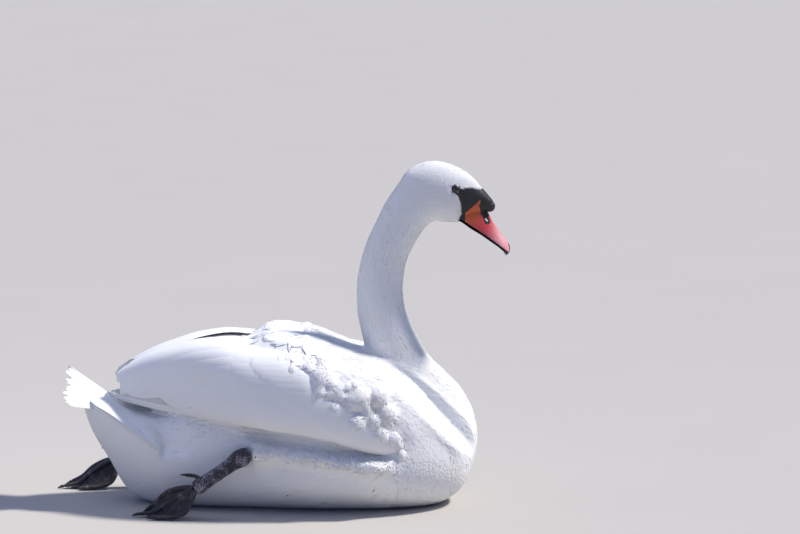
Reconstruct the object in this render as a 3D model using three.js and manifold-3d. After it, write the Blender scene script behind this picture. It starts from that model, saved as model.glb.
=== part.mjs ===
// A mute swan (an adult female) lying on its belly, as a life-size model.
// The neck is raised in an S, the bill is lowered, and both legs trail behind.
// Units are millimetres. +X is the way the bird faces, +Y is its left side, +Z is up, and the floor is Z = 0.
// Flesh and plumage are one outer form here: each solid reaches to the tips of its feathers.

import * as THREE from "three";
import { mergeVertices } from "three/addons/utils/BufferGeometryUtils.js";
import Module from "manifold-3d";

const wasm = await Module();
wasm.setup();

// ---------------------------------------------------------------- driving dimensions

const GAP = 0.35; // clearance left where two solids meet
const CENTRE_X = 14.8; // shift that puts the middle of the whole bird at X = 0

// The trunk, from the tail coverts to the breast. Behind, its sides meet in an edge like a low roof's eaves.
// Each row: x, half width, top, level of the widest place, bottom, exponent of the section's superellipse.
const TRUNK = [
  [-338, 30, 180, 172, 152, 1.6],
  [-328, 46, 186, 170, 122, 1.5],
  [-298, 68, 181, 162, 70, 1.5],
  [-270, 80, 166, 142, 22, 1.55],
  [-240, 91, 158, 123, 1, 1.7],
  [-212, 99, 163, 106, -5, 2],
  [-140, 116, 196, 90, -8, 2.25],
  [-70, 130, 236, 88, -8, 2.25],
  [0, 148, 258, 84, -8, 2.25],
  [60, 157, 264, 82, -8, 2.25],
  [130, 157, 256, 82, -8, 2.25],
  [185, 147, 236, 84, -8, 2.25],
  [230, 128, 208, 88, -5, 2.25],
  [265, 104, 180, 94, 6, 2.25],
  [292, 76, 158, 102, 32, 2.25],
  [306, 48, 140, 108, 66, 2.25],
  [313, 16, 122, 110, 98, 2.25],
];
const TRUNK_SLICES = 17;
const TRUNK_SIDES = 20;
const COVERTS_FROM_X = -236; // the tail coverts begin here

// The neck's centre line, from inside the breast up to the skull.
// Each row: x, z, half depth (fore and aft), half width (side to side).
const NECK = [
  [250, 92, 50, 54],
  [256, 126, 55, 54],
  [243, 156, 55, 50],
  [223, 184, 50.5, 46],
  [199, 212, 46.5, 43],
  [173, 258, 43.5, 40],
  [159, 296, 41, 38],
  [152, 327, 39.2, 37],
  [150.5, 356, 38.3, 36],
  [154, 387, 37.6, 34.5],
  [162, 418, 36.6, 33.5],
  [177, 450, 37, 33],
  [194, 480, 40, 33.5],
  [216, 508, 42, 34],
];
const NECK_CUTS = [0, 0.44, 0.7, 1]; // shares of the centre line where its three lengths end
const NECK_STEP = 24; // spacing of the sections along the neck
const NECK_SIDES = 13;

// The head's own frame: its origin lies inside the skull and its axis points down towards the bill.
const HEAD_ORIGIN = { x: 250, z: 515 };
const HEAD_PITCH = 25; // degrees below level
// Each row: distance along the head, top, bottom, half width.
const HEAD = [
  [-68, -2, -22, 6],
  [-65, 10, -32, 16],
  [-56, 25, -44, 25],
  [-38, 41, -51, 31.5],
  [-20, 48.5, -52, 34],
  [0, 51.5, -49.5, 34.5],
  [20, 50.8, -43.5, 32],
  [38, 47.2, -37, 27.5],
  [53, 40.5, -28.5, 22.5],
  [64, 35.6, -14, 18.5],
  [74, 31, -4, 14.5],
  [83, 26.5, 8, 10],
  [89, 20.5, 14, 4.5],
];
const HEAD_SLICES = 11;
const HEAD_SIDES = 13;

const EYE = { along: 20, up: 17.6, side: 23.6, radius: 7.2 };
const KNOB = { along: 81, up: 14.5, length: 11.5, width: 10.5, height: 10 };

// The bare black skin between eye and bill, seen from the side: along, up.
const LORE_OUTLINE = [
  [13, 17.5],
  [20, 25.5],
  [29, 23],
  [40, 27],
  [60, 26.5],
  [78, 24],
  [92, 18],
  [96, -2],
  [60, -31],
  [52, -31],
  [46.5, -12],
  [37.5, 4],
  [20, 10.5],
];

// The bill's frame starts at the gape and turns further down than the head.
const BILL_ORIGIN = { along: 52, up: -8 };
const BILL_PITCH = 24; // degrees below the head's axis
// Each row: distance along the bill, ridge, cutting edge, lower edge, half width.
const BILL = [
  [0, 26, -19, -22, 20],
  [9, 28.5, -16, -18.5, 19],
  [26, 24.6, -11.2, -14.8, 16.8],
  [45, 19.6, -5.8, -8.8, 15.2],
  [65, 17.6, -0.6, -3.8, 15.4],
  [82, 16.2, 2.8, 0.2, 15.4],
  [91, 14, 4, 1.6, 13],
];
const NAIL = [
  [91, 14, 1.6, 12.6],
  [96, 10.8, 1, 8.6],
  [99, 7, 0.6, 4],
];
const BILL_SIDES = 10;

// The folded wings. Each row: x, outer side, inner side, top, lower edge (sides measured from the middle).
const WING = [
  [-293, 24, 3, 200, 184],
  [-286, 32, 2, 215, 177],
  [-264, 43, 1.5, 230, 171],
  [-225, 63, 1.5, 250, 162],
  [-185, 88, 1.5, 263, 153],
  [-145, 114, 1.5, 273, 146],
  [-100, 138, 1.5, 277, 138],
  [-55, 154, 1.5, 273, 132],
  [0, 164, 1.5, 272, 125],
  [45, 168, 2, 269, 117],
  [85, 168, 8, 262, 108],
  [125, 164, 24, 253, 98],
  [165, 154, 40, 231, 93],
  [205, 139, 48, 195, 94],
  [240, 120, 52, 159, 95],
  [268, 100, 56, 128, 92],
  [284, 84, 62, 108, 88],
];
const WING_LEAN = 0.14; // how far the crest leans to the middle and the lower edge outwards
const WING_SQUARENESS = { outside: 2.8, inside: 7 }; // inside, the wings meet over the back
const WING_SLICES = 13;
const WING_SIDES = 12;

// The scapular feathers stand proud of the wing's root. Rows as for the wing.
const SCAPULARS = [
  [-50, 80, 10, 280, 250],
  [-42, 96, 7, 288, 240],
  [-30, 106, 6, 291, 234],
  [0, 114, 6, 290, 230],
  [40, 114, 8, 286, 228],
  [75, 106, 14, 273, 224],
  [105, 92, 26, 261, 226],
  [122, 78, 38, 252, 230],
];
const SCAPULAR_SLICES = 6;
const SCAPULAR_SIDES = 9;

// Where the wing is divided, seen from the side: x, z of the lines between its feather groups.
const SECONDARY_LINE = [
  [-320, 196],
  [-240, 214],
  [-180, 238],
  [-100, 256],
  [0, 262],
  [80, 262],
];
const COVERT_LINE = [
  [-160, 100],
  [-120, 190],
  [-60, 262],
  [-30, 330],
];
const SHOULDER_LINE = [
  [60, 80],
  [95, 160],
  [98, 220],
  [60, 330],
];

// The primaries' tips, under the tertials. Each row: x, y from the middle, z, half width, half thickness.
const PRIMARIES = [
  [-180, 70, 157, 16, 5],
  [-220, 56, 164, 15, 5],
  [-260, 38, 170, 12, 4],
  [-290, 22, 175, 7, 2.5],
  [-300, 16, 177, 3, 1.5],
];

// The tail feathers spread as a fan with the slope of a low roof.
const TAIL = {
  root: { x: -236, z: 133 },
  pitch: 35, // degrees above level
  spread: 31, // degrees to each side
  feathers: 20,
  middleLength: 160,
  outerLength: 155,
  roofSlope: 0.72,
  ridgeWidth: 26,
  rootThickness: 3.4,
  tipThickness: 1.4,
  tipDepth: 9, // how far the notches between the tips reach in
};

// Legs. Points are x, y (outwards from the middle), z.
const LEG_SIDES = 8;
const RIGHT_LEG = {
  shank: [
    [-16, 126, 92, 17, 18],
    [-42, 137, 96, 15, 16],
    [-60, 144, 99, 12, 13],
  ],
  tarsus: [
    [-61, 145, 99, 9, 11],
    [-68, 147, 100, 13, 15],
    [-78, 149, 97, 12.4, 14.5],
    [-90, 152, 89, 9.6, 12],
    [-108, 157, 77, 8.2, 11],
    [-127, 162, 65, 8.8, 11.5],
    [-141, 165, 56, 11, 12.5],
    [-149, 166, 51, 9.5, 10],
  ],
  toes: {
    outer: [[-150, 168, 50], [-156, 172, 30], [-168, 174, 12], [-190, 173, 5.5], [-216, 171, 5]],
    middle: [[-150, 165, 51], [-168, 160, 42], [-192, 154, 26], [-218, 148, 9], [-243, 143, 5]],
    inner: [[-149, 162, 52], [-167, 151, 50], [-192, 139, 42], [-215, 129, 22], [-232, 120, 5.5]],
  },
  hind: [[-138, 160, 66], [-152, 156, 71], [-166, 154, 72]],
};
const LEFT_LEG = {
  shank: [
    [-156, 100, 80, 17, 18],
    [-182, 112, 83, 15, 16],
    [-204, 118, 86, 12, 13],
  ],
  tarsus: [
    [-205, 118, 86, 9, 11],
    [-212, 119, 87, 13, 15],
    [-222, 119, 84, 12.4, 14.5],
    [-235, 118, 78, 9.6, 12],
    [-254, 117, 70, 8.2, 11],
    [-273, 116, 61, 8.8, 11.5],
    [-287, 115, 54, 11, 12.5],
    [-295, 114, 50, 9.5, 10],
  ],
  toes: {
    outer: [[-296, 116, 49], [-312, 125, 44], [-334, 133, 32], [-354, 139, 14], [-372, 143, 5]],
    middle: [[-296, 113, 49], [-313, 110, 42], [-336, 107, 27], [-360, 104, 9], [-382, 102, 5]],
    inner: [[-295, 110, 48], [-295, 102, 30], [-304, 96, 12], [-326, 90, 5.5], [-348, 85, 5]],
  },
  hind: [[-284, 110, 64], [-298, 106, 69], [-311, 104, 70]],
};
const TOE_RADII = [6.4, 5.6, 5.2, 4.6, 3.6];
const TOE_SIDES = 5;
const TOE_FLATTENING = 0.82; // a toe's depth as a share of its width
const HIND_RADII = [3.4, 3.2, 2.6];
const WEB_THICKNESS = 1.6;
const CLAW_LENGTH = 11;
const CLAW_RADIUS = 2.9;
const HIND_CLAW_SCALE = 0.7;

// ---------------------------------------------------------------- colours

const finish = (color, roughness) =>
  new THREE.MeshStandardMaterial({ color, roughness, metalness: 0 });
const WHITE_PLUMAGE = finish("#f2f1ec", 0.75);
const BLACK_SKIN = finish("#15130f", 0.5);
const ORANGE_BILL = finish("#d2562b", 0.42);
const DARK_LEG = finish("#2b2928", 0.7);
const EYE_GLOSS = finish("#120c09", 0.08);

// ---------------------------------------------------------------- small tools

// Smooth values between the rows of a table, by cubic steps that never overshoot.
function interpolator(rows) {
  const xs = rows.map((row) => row[0]);
  const widths = xs.slice(1).map((x, i) => x - xs[i]);
  const columns = rows[0].slice(1).map((_, column) => {
    const ys = rows.map((row) => row[column + 1]);
    const slopes = widths.map((h, i) => (ys[i + 1] - ys[i]) / h);
    const tangents = ys.map((_, i) => {
      if (i === 0) return slopes[0];
      if (i === ys.length - 1) return slopes[i - 1];
      const [before, after] = [slopes[i - 1], slopes[i]];
      return before * after <= 0 ? 0 : (2 * before * after) / (before + after);
    });
    return { ys, tangents };
  });
  return (x) => {
    let i = 0;
    while (i < widths.length - 1 && x > xs[i + 1]) i++;
    const t = THREE.MathUtils.clamp((x - xs[i]) / widths[i], 0, 1);
    const [t2, t3] = [t * t, t * t * t];
    return columns.map(
      ({ ys, tangents }) =>
        ys[i] * (2 * t3 - 3 * t2 + 1) +
        tangents[i] * widths[i] * (t3 - 2 * t2 + t) +
        ys[i + 1] * (3 * t2 - 2 * t3) +
        tangents[i + 1] * widths[i] * (t3 - t2),
    );
  };
}

// Evenly spread numbers from a to b, drawn towards both ends when ease is above 0.
function spread(a, b, count, ease = 0) {
  return Array.from({ length: count + 1 }, (_, i) => {
    const t = i / count;
    const eased = (1 - Math.cos(Math.PI * t)) / 2;
    return a + (b - a) * THREE.MathUtils.lerp(t, eased, ease);
  });
}

// A point on a superellipse of unit size.
function superellipse(angle, exponent) {
  const [c, s] = [Math.cos(angle), Math.sin(angle)];
  const bend = (v) => Math.sign(v) * Math.abs(v) ** (2 / exponent);
  return [bend(c), bend(s)];
}

// A closed body through rings of points, each ring with the same number of points.
function loft(rings) {
  const sides = rings[0].length;
  const positions = rings.flat().flatMap((p) => [p.x, p.y, p.z]);
  const index = [];
  for (let r = 0; r + 1 < rings.length; r++) {
    for (let k = 0; k < sides; k++) {
      const [a, b] = [r * sides + k, r * sides + ((k + 1) % sides)];
      index.push(a, b, b + sides, a, b + sides, a + sides);
    }
  }
  const ends = [
    [0, true],
    [rings.length - 1, false],
  ];
  for (const [r, first] of ends) {
    const middle = rings[r]
      .reduce((sum, p) => sum.add(p), new THREE.Vector3())
      .divideScalar(sides);
    const hub = positions.length / 3;
    positions.push(middle.x, middle.y, middle.z);
    for (let k = 0; k < sides; k++) {
      const [a, b] = [r * sides + k, r * sides + ((k + 1) % sides)];
      index.push(...(first ? [hub, b, a] : [hub, a, b]));
    }
  }
  return solid(positions, index);
}

// A plate around a grid of middle points, with its own thickness and direction at each.
function plate(grid, normalOf, thicknessOf) {
  const [rows, columns] = [grid.length, grid[0].length];
  const positions = [];
  for (const side of [0.5, -0.5]) {
    grid.forEach((row, i) =>
      row.forEach((p, j) => {
        const q = p.clone().addScaledVector(normalOf(i, j), side * thicknessOf(i, j));
        positions.push(q.x, q.y, q.z);
      }),
    );
  }
  const back = rows * columns;
  const at = (i, j) => i * columns + j;
  const index = [];
  for (let i = 0; i + 1 < rows; i++) {
    for (let j = 0; j + 1 < columns; j++) {
      const [a, b, c, d] = [at(i, j), at(i, j + 1), at(i + 1, j + 1), at(i + 1, j)];
      index.push(a, b, c, a, c, d, back + a, back + c, back + b, back + a, back + d, back + c);
    }
  }
  const rim = [];
  for (let j = 0; j < columns; j++) rim.push(at(0, j));
  for (let i = 1; i < rows; i++) rim.push(at(i, columns - 1));
  for (let j = columns - 2; j >= 0; j--) rim.push(at(rows - 1, j));
  for (let i = rows - 2; i > 0; i--) rim.push(at(i, 0));
  rim.forEach((a, k) => {
    const b = rim[(k + 1) % rim.length];
    index.push(b, a, back + a, b, back + a, back + b);
  });
  return solid(positions, index);
}

// Turns points and triangles into a manifold solid, facing outwards.
function solid(positions, index) {
  const geometry = new THREE.BufferGeometry()
    .setAttribute("position", new THREE.Float32BufferAttribute(positions, 3))
    .setIndex(index);
  const merged = mergeVertices(geometry, 1e-3);
  const vertProperties = merged.attributes.position.array;
  const make = (triVerts) =>
    new wasm.Manifold(new wasm.Mesh({ numProp: 3, vertProperties, triVerts }));
  const triangles = Array.from(merged.index.array);
  const kept = [];
  for (let i = 0; i < triangles.length; i += 3) {
    const [a, b, c] = triangles.slice(i, i + 3);
    if (a !== b && b !== c && c !== a) kept.push(a, b, c);
  }
  const made = make(new Uint32Array(kept));
  if (made.volume() > 0) return made;
  for (let i = 0; i < kept.length; i += 3) [kept[i + 1], kept[i + 2]] = [kept[i + 2], kept[i + 1]];
  return make(new Uint32Array(kept));
}

// A prism through the whole bird: an outline drawn on the XZ plane, pulled out along Y.
const REACH = 400;
function sidePrism(points) {
  const shape = new THREE.Shape(points.map(([x, z]) => new THREE.Vector2(x, z)));
  const extruded = new THREE.ExtrudeGeometry(shape, {
    depth: 2 * REACH,
    bevelEnabled: false,
  });
  extruded.rotateX(Math.PI / 2);
  extruded.translate(0, REACH, 0);
  const plain = extruded.index ? extruded.toNonIndexed() : extruded;
  const count = plain.attributes.position.count;
  return solid(Array.from(plain.attributes.position.array), [...Array(count).keys()]);
}

// An outline moved outwards (or inwards, where the distance is negative) by the same distance all round.
function moveOutline(points, distance) {
  const corners = points.map(([x, z]) => new THREE.Vector2(x, z));
  const sense = THREE.ShapeUtils.isClockWise(corners) ? -1 : 1;
  return corners.map((corner, i) => {
    const [before, after] = [corners.at(i - 1), corners[(i + 1) % corners.length]];
    const [a, b] = [corner.clone().sub(before).normalize(), after.clone().sub(corner).normalize()];
    const outward = new THREE.Vector2(a.y + b.y, -a.x - b.x).normalize();
    const reach = distance / Math.max(0.4, outward.dot(new THREE.Vector2(a.y, -a.x)));
    return corner.clone().addScaledVector(outward, sense * reach).toArray();
  });
}

// The side of a line of points that lies beyond it, moved by a shift, as a prism.
function beyond(line, shift, corners) {
  const moved = line.map(([x, z]) => [x + shift[0], z + shift[1]]);
  return sidePrism([...moved, ...corners]);
}

// The largest body of a solid, for dropping slivers that a cut leaves.
function mainBody(made) {
  return made.decompose().reduce((a, b) => (a.volume() > b.volume() ? a : b));
}

// A tube of oval section through points with their own radii. Rows: x, y, z, half width, half depth.
function limb(rows, sides, grow = 0) {
  const points = rows.map(([x, y, z]) => new THREE.Vector3(x, y, z));
  const rings = rows.map(([, , , width, depth], i) => {
    const along = points[Math.min(i + 1, rows.length - 1)]
      .clone()
      .sub(points[Math.max(i - 1, 0)])
      .normalize();
    const across = new THREE.Vector3(0, 0, 1).cross(along).normalize();
    const up = along.clone().cross(across);
    return Array.from({ length: sides }, (_, k) => {
      const angle = (2 * Math.PI * k) / sides;
      return points[i]
        .clone()
        .addScaledVector(across, Math.cos(angle) * (width + grow))
        .addScaledVector(up, Math.sin(angle) * (depth + grow));
    });
  });
  if (grow > 0) {
    const push = (ring, from) =>
      ring.map((p) => p.clone().add(from.clone().multiplyScalar(grow)));
    const start = points[0].clone().sub(points[1]).normalize();
    const end = points.at(-1).clone().sub(points.at(-2)).normalize();
    rings[0] = push(rings[0], start);
    rings[rings.length - 1] = push(rings.at(-1), end);
  }
  return loft(rings);
}

const mirrored = (rows) => rows.map(([x, y, ...rest]) => [x, -y, ...rest]);
const onSide = (rows, side) => (side === "right" ? mirrored(rows) : rows);

// ---------------------------------------------------------------- trunk

function trunkForm(grow = 0) {
  const at = interpolator(TRUNK);
  const [first, last] = [TRUNK[0][0], TRUNK.at(-1)[0]];
  const rings = spread(first, last, TRUNK_SLICES, 0.5).map((x) => {
    const [width, top, level, bottom, squareness] = at(x);
    const slide = x === first ? -grow : x === last ? grow : 0;
    return spread(0, 2 * Math.PI, TRUNK_SIDES)
      .slice(0, -1)
      .map((angle) => {
        const [c, s] = superellipse(angle, squareness);
        const height = s > 0 ? top - level : level - bottom;
        const z = level + s * (height + grow);
        const floor = grow > 0 ? -grow : 0;
        return new THREE.Vector3(x + slide, c * (width + grow), Math.max(z, floor));
      });
  });
  return loft(rings);
}

// ---------------------------------------------------------------- neck and head

const neckCurve = new THREE.CatmullRomCurve3(
  NECK.map(([x, z]) => new THREE.Vector3(x, 0, z)),
  false,
  "centripetal",
);
const neckSizes = interpolator(
  NECK.map(([, , depth, width], i) => [i / (NECK.length - 1), depth, width]),
);
const NECK_LENGTH = neckCurve.getLength();

function neckRing(share, grow) {
  const u = neckCurve.getUtoTmapping(share);
  const [depth, width] = neckSizes(u);
  const centre = neckCurve.getPoint(u);
  const along = neckCurve.getTangent(u);
  const front = new THREE.Vector3(along.z, 0, -along.x);
  return spread(0, 2 * Math.PI, NECK_SIDES)
    .slice(0, -1)
    .map((angle) =>
      centre
        .clone()
        .addScaledVector(front, Math.cos(angle) * (depth + grow))
        .add(new THREE.Vector3(0, Math.sin(angle) * (width + grow), 0)),
    );
}

function neckForm(from, to, grow = 0) {
  const steps = Math.max(2, Math.round(((to - from) * NECK_LENGTH) / NECK_STEP));
  return loft(spread(from, to, steps).map((share) => neckRing(share, grow)));
}

// Places a point given in the head's frame (along, side, up) in the bird's frame.
const headTurn = THREE.MathUtils.degToRad(HEAD_PITCH);
function headPoint(along, side, up) {
  return new THREE.Vector3(
    HEAD_ORIGIN.x + along * Math.cos(headTurn) + up * Math.sin(headTurn),
    side,
    HEAD_ORIGIN.z - along * Math.sin(headTurn) + up * Math.cos(headTurn),
  );
}

function headForm(grow = 0) {
  const at = interpolator(HEAD);
  const [first, last] = [HEAD[0][0], HEAD.at(-1)[0]];
  const rings = spread(first, last, HEAD_SLICES, 0.6).map((along) => {
    const [top, bottom, width] = at(along);
    const [level, height] = [(top + bottom) / 2, (top - bottom) / 2];
    const slide = along === first ? -grow : along === last ? grow : 0;
    return spread(0, 2 * Math.PI, HEAD_SIDES)
      .slice(0, -1)
      .map((angle) => {
        const [c, s] = superellipse(angle, 2.15);
        return headPoint(along + slide, c * (width + grow), level + s * (height + grow));
      });
  });
  return loft(rings);
}

function ball(along, side, up, radii, grow = 0) {
  const sphere = new THREE.SphereGeometry(1, 9, 6);
  const place = headPoint(along, side, up);
  sphere.scale(...radii.map((r) => r + grow));
  sphere.rotateY(headTurn);
  sphere.translate(place.x, place.y, place.z);
  const plain = sphere.toNonIndexed();
  const count = plain.attributes.position.count;
  return solid(Array.from(plain.attributes.position.array), [...Array(count).keys()]);
}

const eyeForm = (side, grow = 0) =>
  ball(EYE.along, side * EYE.side, EYE.up, [EYE.radius, EYE.radius, EYE.radius], grow);
const knobForm = (grow = 0) =>
  ball(KNOB.along, 0, KNOB.up, [KNOB.length, KNOB.width, KNOB.height], grow);

function loreForm(grow = 0) {
  const outline = moveOutline(LORE_OUTLINE, grow).map(([along, up]) => {
    const p = headPoint(along, 0, up);
    return [p.x, p.z];
  });
  return sidePrism(outline);
}

// ---------------------------------------------------------------- bill

const billTurn = THREE.MathUtils.degToRad(BILL_PITCH);
function billPoint(along, side, up) {
  const turned = new THREE.Vector2(
    BILL_ORIGIN.along + along * Math.cos(billTurn) + up * Math.sin(billTurn),
    BILL_ORIGIN.up - along * Math.sin(billTurn) + up * Math.cos(billTurn),
  );
  return headPoint(turned.x, side, turned.y);
}

// One half of the bill: rows are distance along, top, bottom, half width. It is round above when dome is true.
function mandible(rows, dome, grow = 0) {
  const at = interpolator(rows);
  const [first, last] = [rows[0][0], rows.at(-1)[0]];
  const rings = spread(first, last, Math.max(2, Math.round((last - first) / 14))).map((along) => {
    const [top, bottom, width] = at(along);
    const slide = along === first ? -grow : along === last ? grow : 0;
    return spread(0, 2 * Math.PI, BILL_SIDES)
      .slice(0, -1)
      .map((angle) => {
        const [c, s] = superellipse(angle, dome ? 2 : 2.6);
        const low = dome ? (top - bottom) * 0.12 : (top - bottom) * 0.5;
        const height = s > 0 ? top - bottom - low : low;
        return billPoint(along + slide, c * (width + grow), bottom + low + s * (height + grow));
      });
  });
  return loft(rings);
}

const upperBill = (grow = 0) =>
  mandible(BILL.map(([along, ridge, edge, , width]) => [along, ridge, edge + GAP / 2, width]), true, grow);
const lowerBill = (grow = 0) =>
  mandible(
    BILL.map(([along, , edge, low, width]) => [along, edge - GAP / 2, low, width - 1.8]),
    false,
    grow,
  );
const nailForm = () =>
  mandible(NAIL.map(([along, ...rest], i) => [along + (i === 0 ? GAP : 0), ...rest]), true);

// ---------------------------------------------------------------- wings

// A rounded body beside the middle plane. Rows: x, outer side, inner side, top, lower edge.
function lobe(rows, side, slices, sides, grow = 0) {
  const at = interpolator(rows);
  const [first, last] = [rows[0][0], rows.at(-1)[0]];
  const sign = side === "right" ? -1 : 1;
  const rings = spread(first, last, slices, 0.5).map((x) => {
    const [outer, inner, top, low] = at(x);
    const [middle, width] = [(outer + inner) / 2, (outer - inner) / 2];
    const [level, height] = [(top + low) / 2, (top - low) / 2];
    const slide = x === first ? -grow : x === last ? grow : 0;
    return spread(0, 2 * Math.PI, sides)
      .slice(0, -1)
      .map((angle) => {
        const { outside, inside } = WING_SQUARENESS;
        const [c, s] = superellipse(angle, Math.cos(angle) < 0 ? inside : outside);
        const y = middle + c * (width + grow) - s * WING_LEAN * width;
        return new THREE.Vector3(
          x + slide,
          sign * Math.max(y, inner > 0 ? Math.min(inner, 1) : 0),
          level + s * (height + grow),
        );
      });
  });
  return loft(rings);
}

const scapularForm = (side, grow = 0) =>
  lobe(SCAPULARS, side, SCAPULAR_SLICES, SCAPULAR_SIDES, grow);

function primaryForm(side, grow = 0) {
  return limb(onSide(PRIMARIES, side), 8, grow);
}

// ---------------------------------------------------------------- tail

const tailTurn = THREE.MathUtils.degToRad(TAIL.pitch);
const tailAlong = new THREE.Vector3(-Math.cos(tailTurn), 0, Math.sin(tailTurn));
const tailUp = new THREE.Vector3(Math.sin(tailTurn), 0, Math.cos(tailTurn));

// A point of the fan: share across from -1 to 1, and distance from the root.
function fanPoint(share, distance) {
  const angle = THREE.MathUtils.degToRad(TAIL.spread) * share;
  const side = Math.sin(angle) * distance;
  const drop =
    TAIL.roofSlope * (Math.sqrt(side * side + TAIL.ridgeWidth ** 2) - TAIL.ridgeWidth);
  return new THREE.Vector3(TAIL.root.x, 0, TAIL.root.z)
    .addScaledVector(tailAlong, Math.cos(angle) * distance)
    .add(new THREE.Vector3(0, side, 0))
    .addScaledVector(tailUp, -drop);
}

function tailFan(grow = 0) {
  const notched = grow === 0;
  const wide = 1 + grow * 0.1;
  const columns = spread(-wide, wide, notched ? TAIL.feathers * 2 : TAIL.feathers);
  const rows = [0.12 - grow * 0.008, 0.86, 1];
  const grid = rows.map((t) =>
    columns.map((share, j) => {
      const reach = THREE.MathUtils.lerp(TAIL.middleLength, TAIL.outerLength, share * share);
      const notch = notched && j % 2 === 0 ? TAIL.tipDepth * t ** 6 : 0;
      return fanPoint(share, t * (reach + grow) - notch);
    }),
  );
  const thickness = (i) =>
    THREE.MathUtils.lerp(TAIL.rootThickness, TAIL.tipThickness, rows[i]) + 2 * grow;
  return plate(grid, () => tailUp, thickness);
}

// A wide sheet that continues the fan on every side, for parting the coverts above from those below.
function tailSheet(thickness) {
  const grid = spread(-60, 260, 1).map((distance) =>
    spread(-170, 170, 12).map((side) => {
      const drop =
        TAIL.roofSlope * (Math.sqrt(side * side + TAIL.ridgeWidth ** 2) - TAIL.ridgeWidth);
      return new THREE.Vector3(TAIL.root.x, side, TAIL.root.z)
        .addScaledVector(tailAlong, distance)
        .addScaledVector(tailUp, -drop);
    }),
  );
  return plate(grid, () => tailUp, () => thickness);
}

// ---------------------------------------------------------------- legs

const asRows = (points, radii) =>
  points.map((p, i) => [...p, radii[i], radii[i] * TOE_FLATTENING]);

// A web between two toes, along the stretch of each that lies on the floor side.
function web(a, b) {
  const grid = a.slice(1).map((p, i) => {
    const q = b[i + 1];
    return spread(0, 1, 2).map((t) => {
      const sag = 4 * t * (1 - t);
      const pull = i === a.length - 2 ? 12 * sag : 0;
      return new THREE.Vector3(
        THREE.MathUtils.lerp(p[0], q[0], t) + pull,
        THREE.MathUtils.lerp(p[1], q[1], t),
        Math.max(THREE.MathUtils.lerp(p[2], q[2], t) - sag * 1.2, WEB_THICKNESS),
      );
    });
  });
  const up = new THREE.Vector3(0.3, 0, 1).normalize();
  return plate(grid, () => up, () => WEB_THICKNESS);
}

function footForm(leg, side) {
  const toes = Object.values(leg.toes).map((points) =>
    limb(onSide(asRows(points, TOE_RADII), side), TOE_SIDES),
  );
  const order = ["outer", "middle", "inner"].map((name) => onSide(leg.toes[name], side));
  const webs = [web(order[0], order[1]), web(order[1], order[2])];
  return [...toes, ...webs].reduce((a, b) => a.add(b));
}

function clawForm(points, side, scale) {
  const path = onSide(points, side);
  const [end, before] = [path.at(-1), path.at(-2)];
  const from = new THREE.Vector3(...end);
  const along = from.clone().sub(new THREE.Vector3(...before)).normalize();
  const rows = [0, 0.5, 1].map((t, i) => {
    const p = from.clone().addScaledVector(along, 3 * GAP + t * CLAW_LENGTH * scale);
    const radius = CLAW_RADIUS * scale * [1, 0.72, 0.25][i];
    return [p.x, p.y, Math.max(p.z - t * t * 1.6 * scale, radius), radius, radius];
  });
  return limb(rows, 6);
}

// ---------------------------------------------------------------- assembly

const swan = new THREE.Group();

function addNode(name, form, material) {
  const mesh = form.getMesh();
  const count = mesh.numProp;
  const positions = new Float32Array(mesh.numVert * 3);
  for (let i = 0; i < mesh.numVert; i++) {
    positions.set(mesh.vertProperties.subarray(i * count, i * count + 3), i * 3);
  }
  const geometry = new THREE.BufferGeometry()
    .setAttribute("position", new THREE.BufferAttribute(positions, 3))
    .setIndex(new THREE.BufferAttribute(mesh.triVerts, 1));
  geometry.computeVertexNormals();
  const node = new THREE.Mesh(geometry, material);
  node.name = name;
  node.position.x = CENTRE_X;
  swan.add(node);
}

function addHead() {
  const eyes = { right: eyeForm(-1, GAP), left: eyeForm(1, GAP) };
  const socketed = headForm()
    .subtract(eyes.right)
    .subtract(eyes.left)
    .subtract(knobForm(GAP))
    .subtract(upperBill(GAP))
    .subtract(lowerBill(GAP));
  addNode("head", mainBody(socketed.subtract(loreForm(GAP / 2))), WHITE_PLUMAGE);
  addNode("lores", mainBody(socketed.intersect(loreForm(-GAP / 2))), BLACK_SKIN);
  addNode("knob", knobForm(), BLACK_SKIN);
  addNode("eye_right", eyeForm(-1), EYE_GLOSS);
  addNode("eye_left", eyeForm(1), EYE_GLOSS);
  addNode("bill_upper", mainBody(upperBill().subtract(knobForm(GAP))), ORANGE_BILL);
  addNode("bill_lower", lowerBill(), BLACK_SKIN);
  addNode("bill_nail", nailForm(), BLACK_SKIN);
}

function addNeck() {
  const names = ["neck_lower", "neck_middle", "neck_upper"];
  const half = GAP / 2 / NECK_LENGTH;
  names.forEach((name, i) => {
    const from = NECK_CUTS[i] + (i > 0 ? half : 0);
    const to = NECK_CUTS[i + 1] - (i < 2 ? half : 0);
    let form = neckForm(from, to).subtract(trunkForm(GAP));
    if (name === "neck_upper") form = form.subtract(headForm(GAP));
    addNode(name, mainBody(form), WHITE_PLUMAGE);
  });
}

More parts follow.
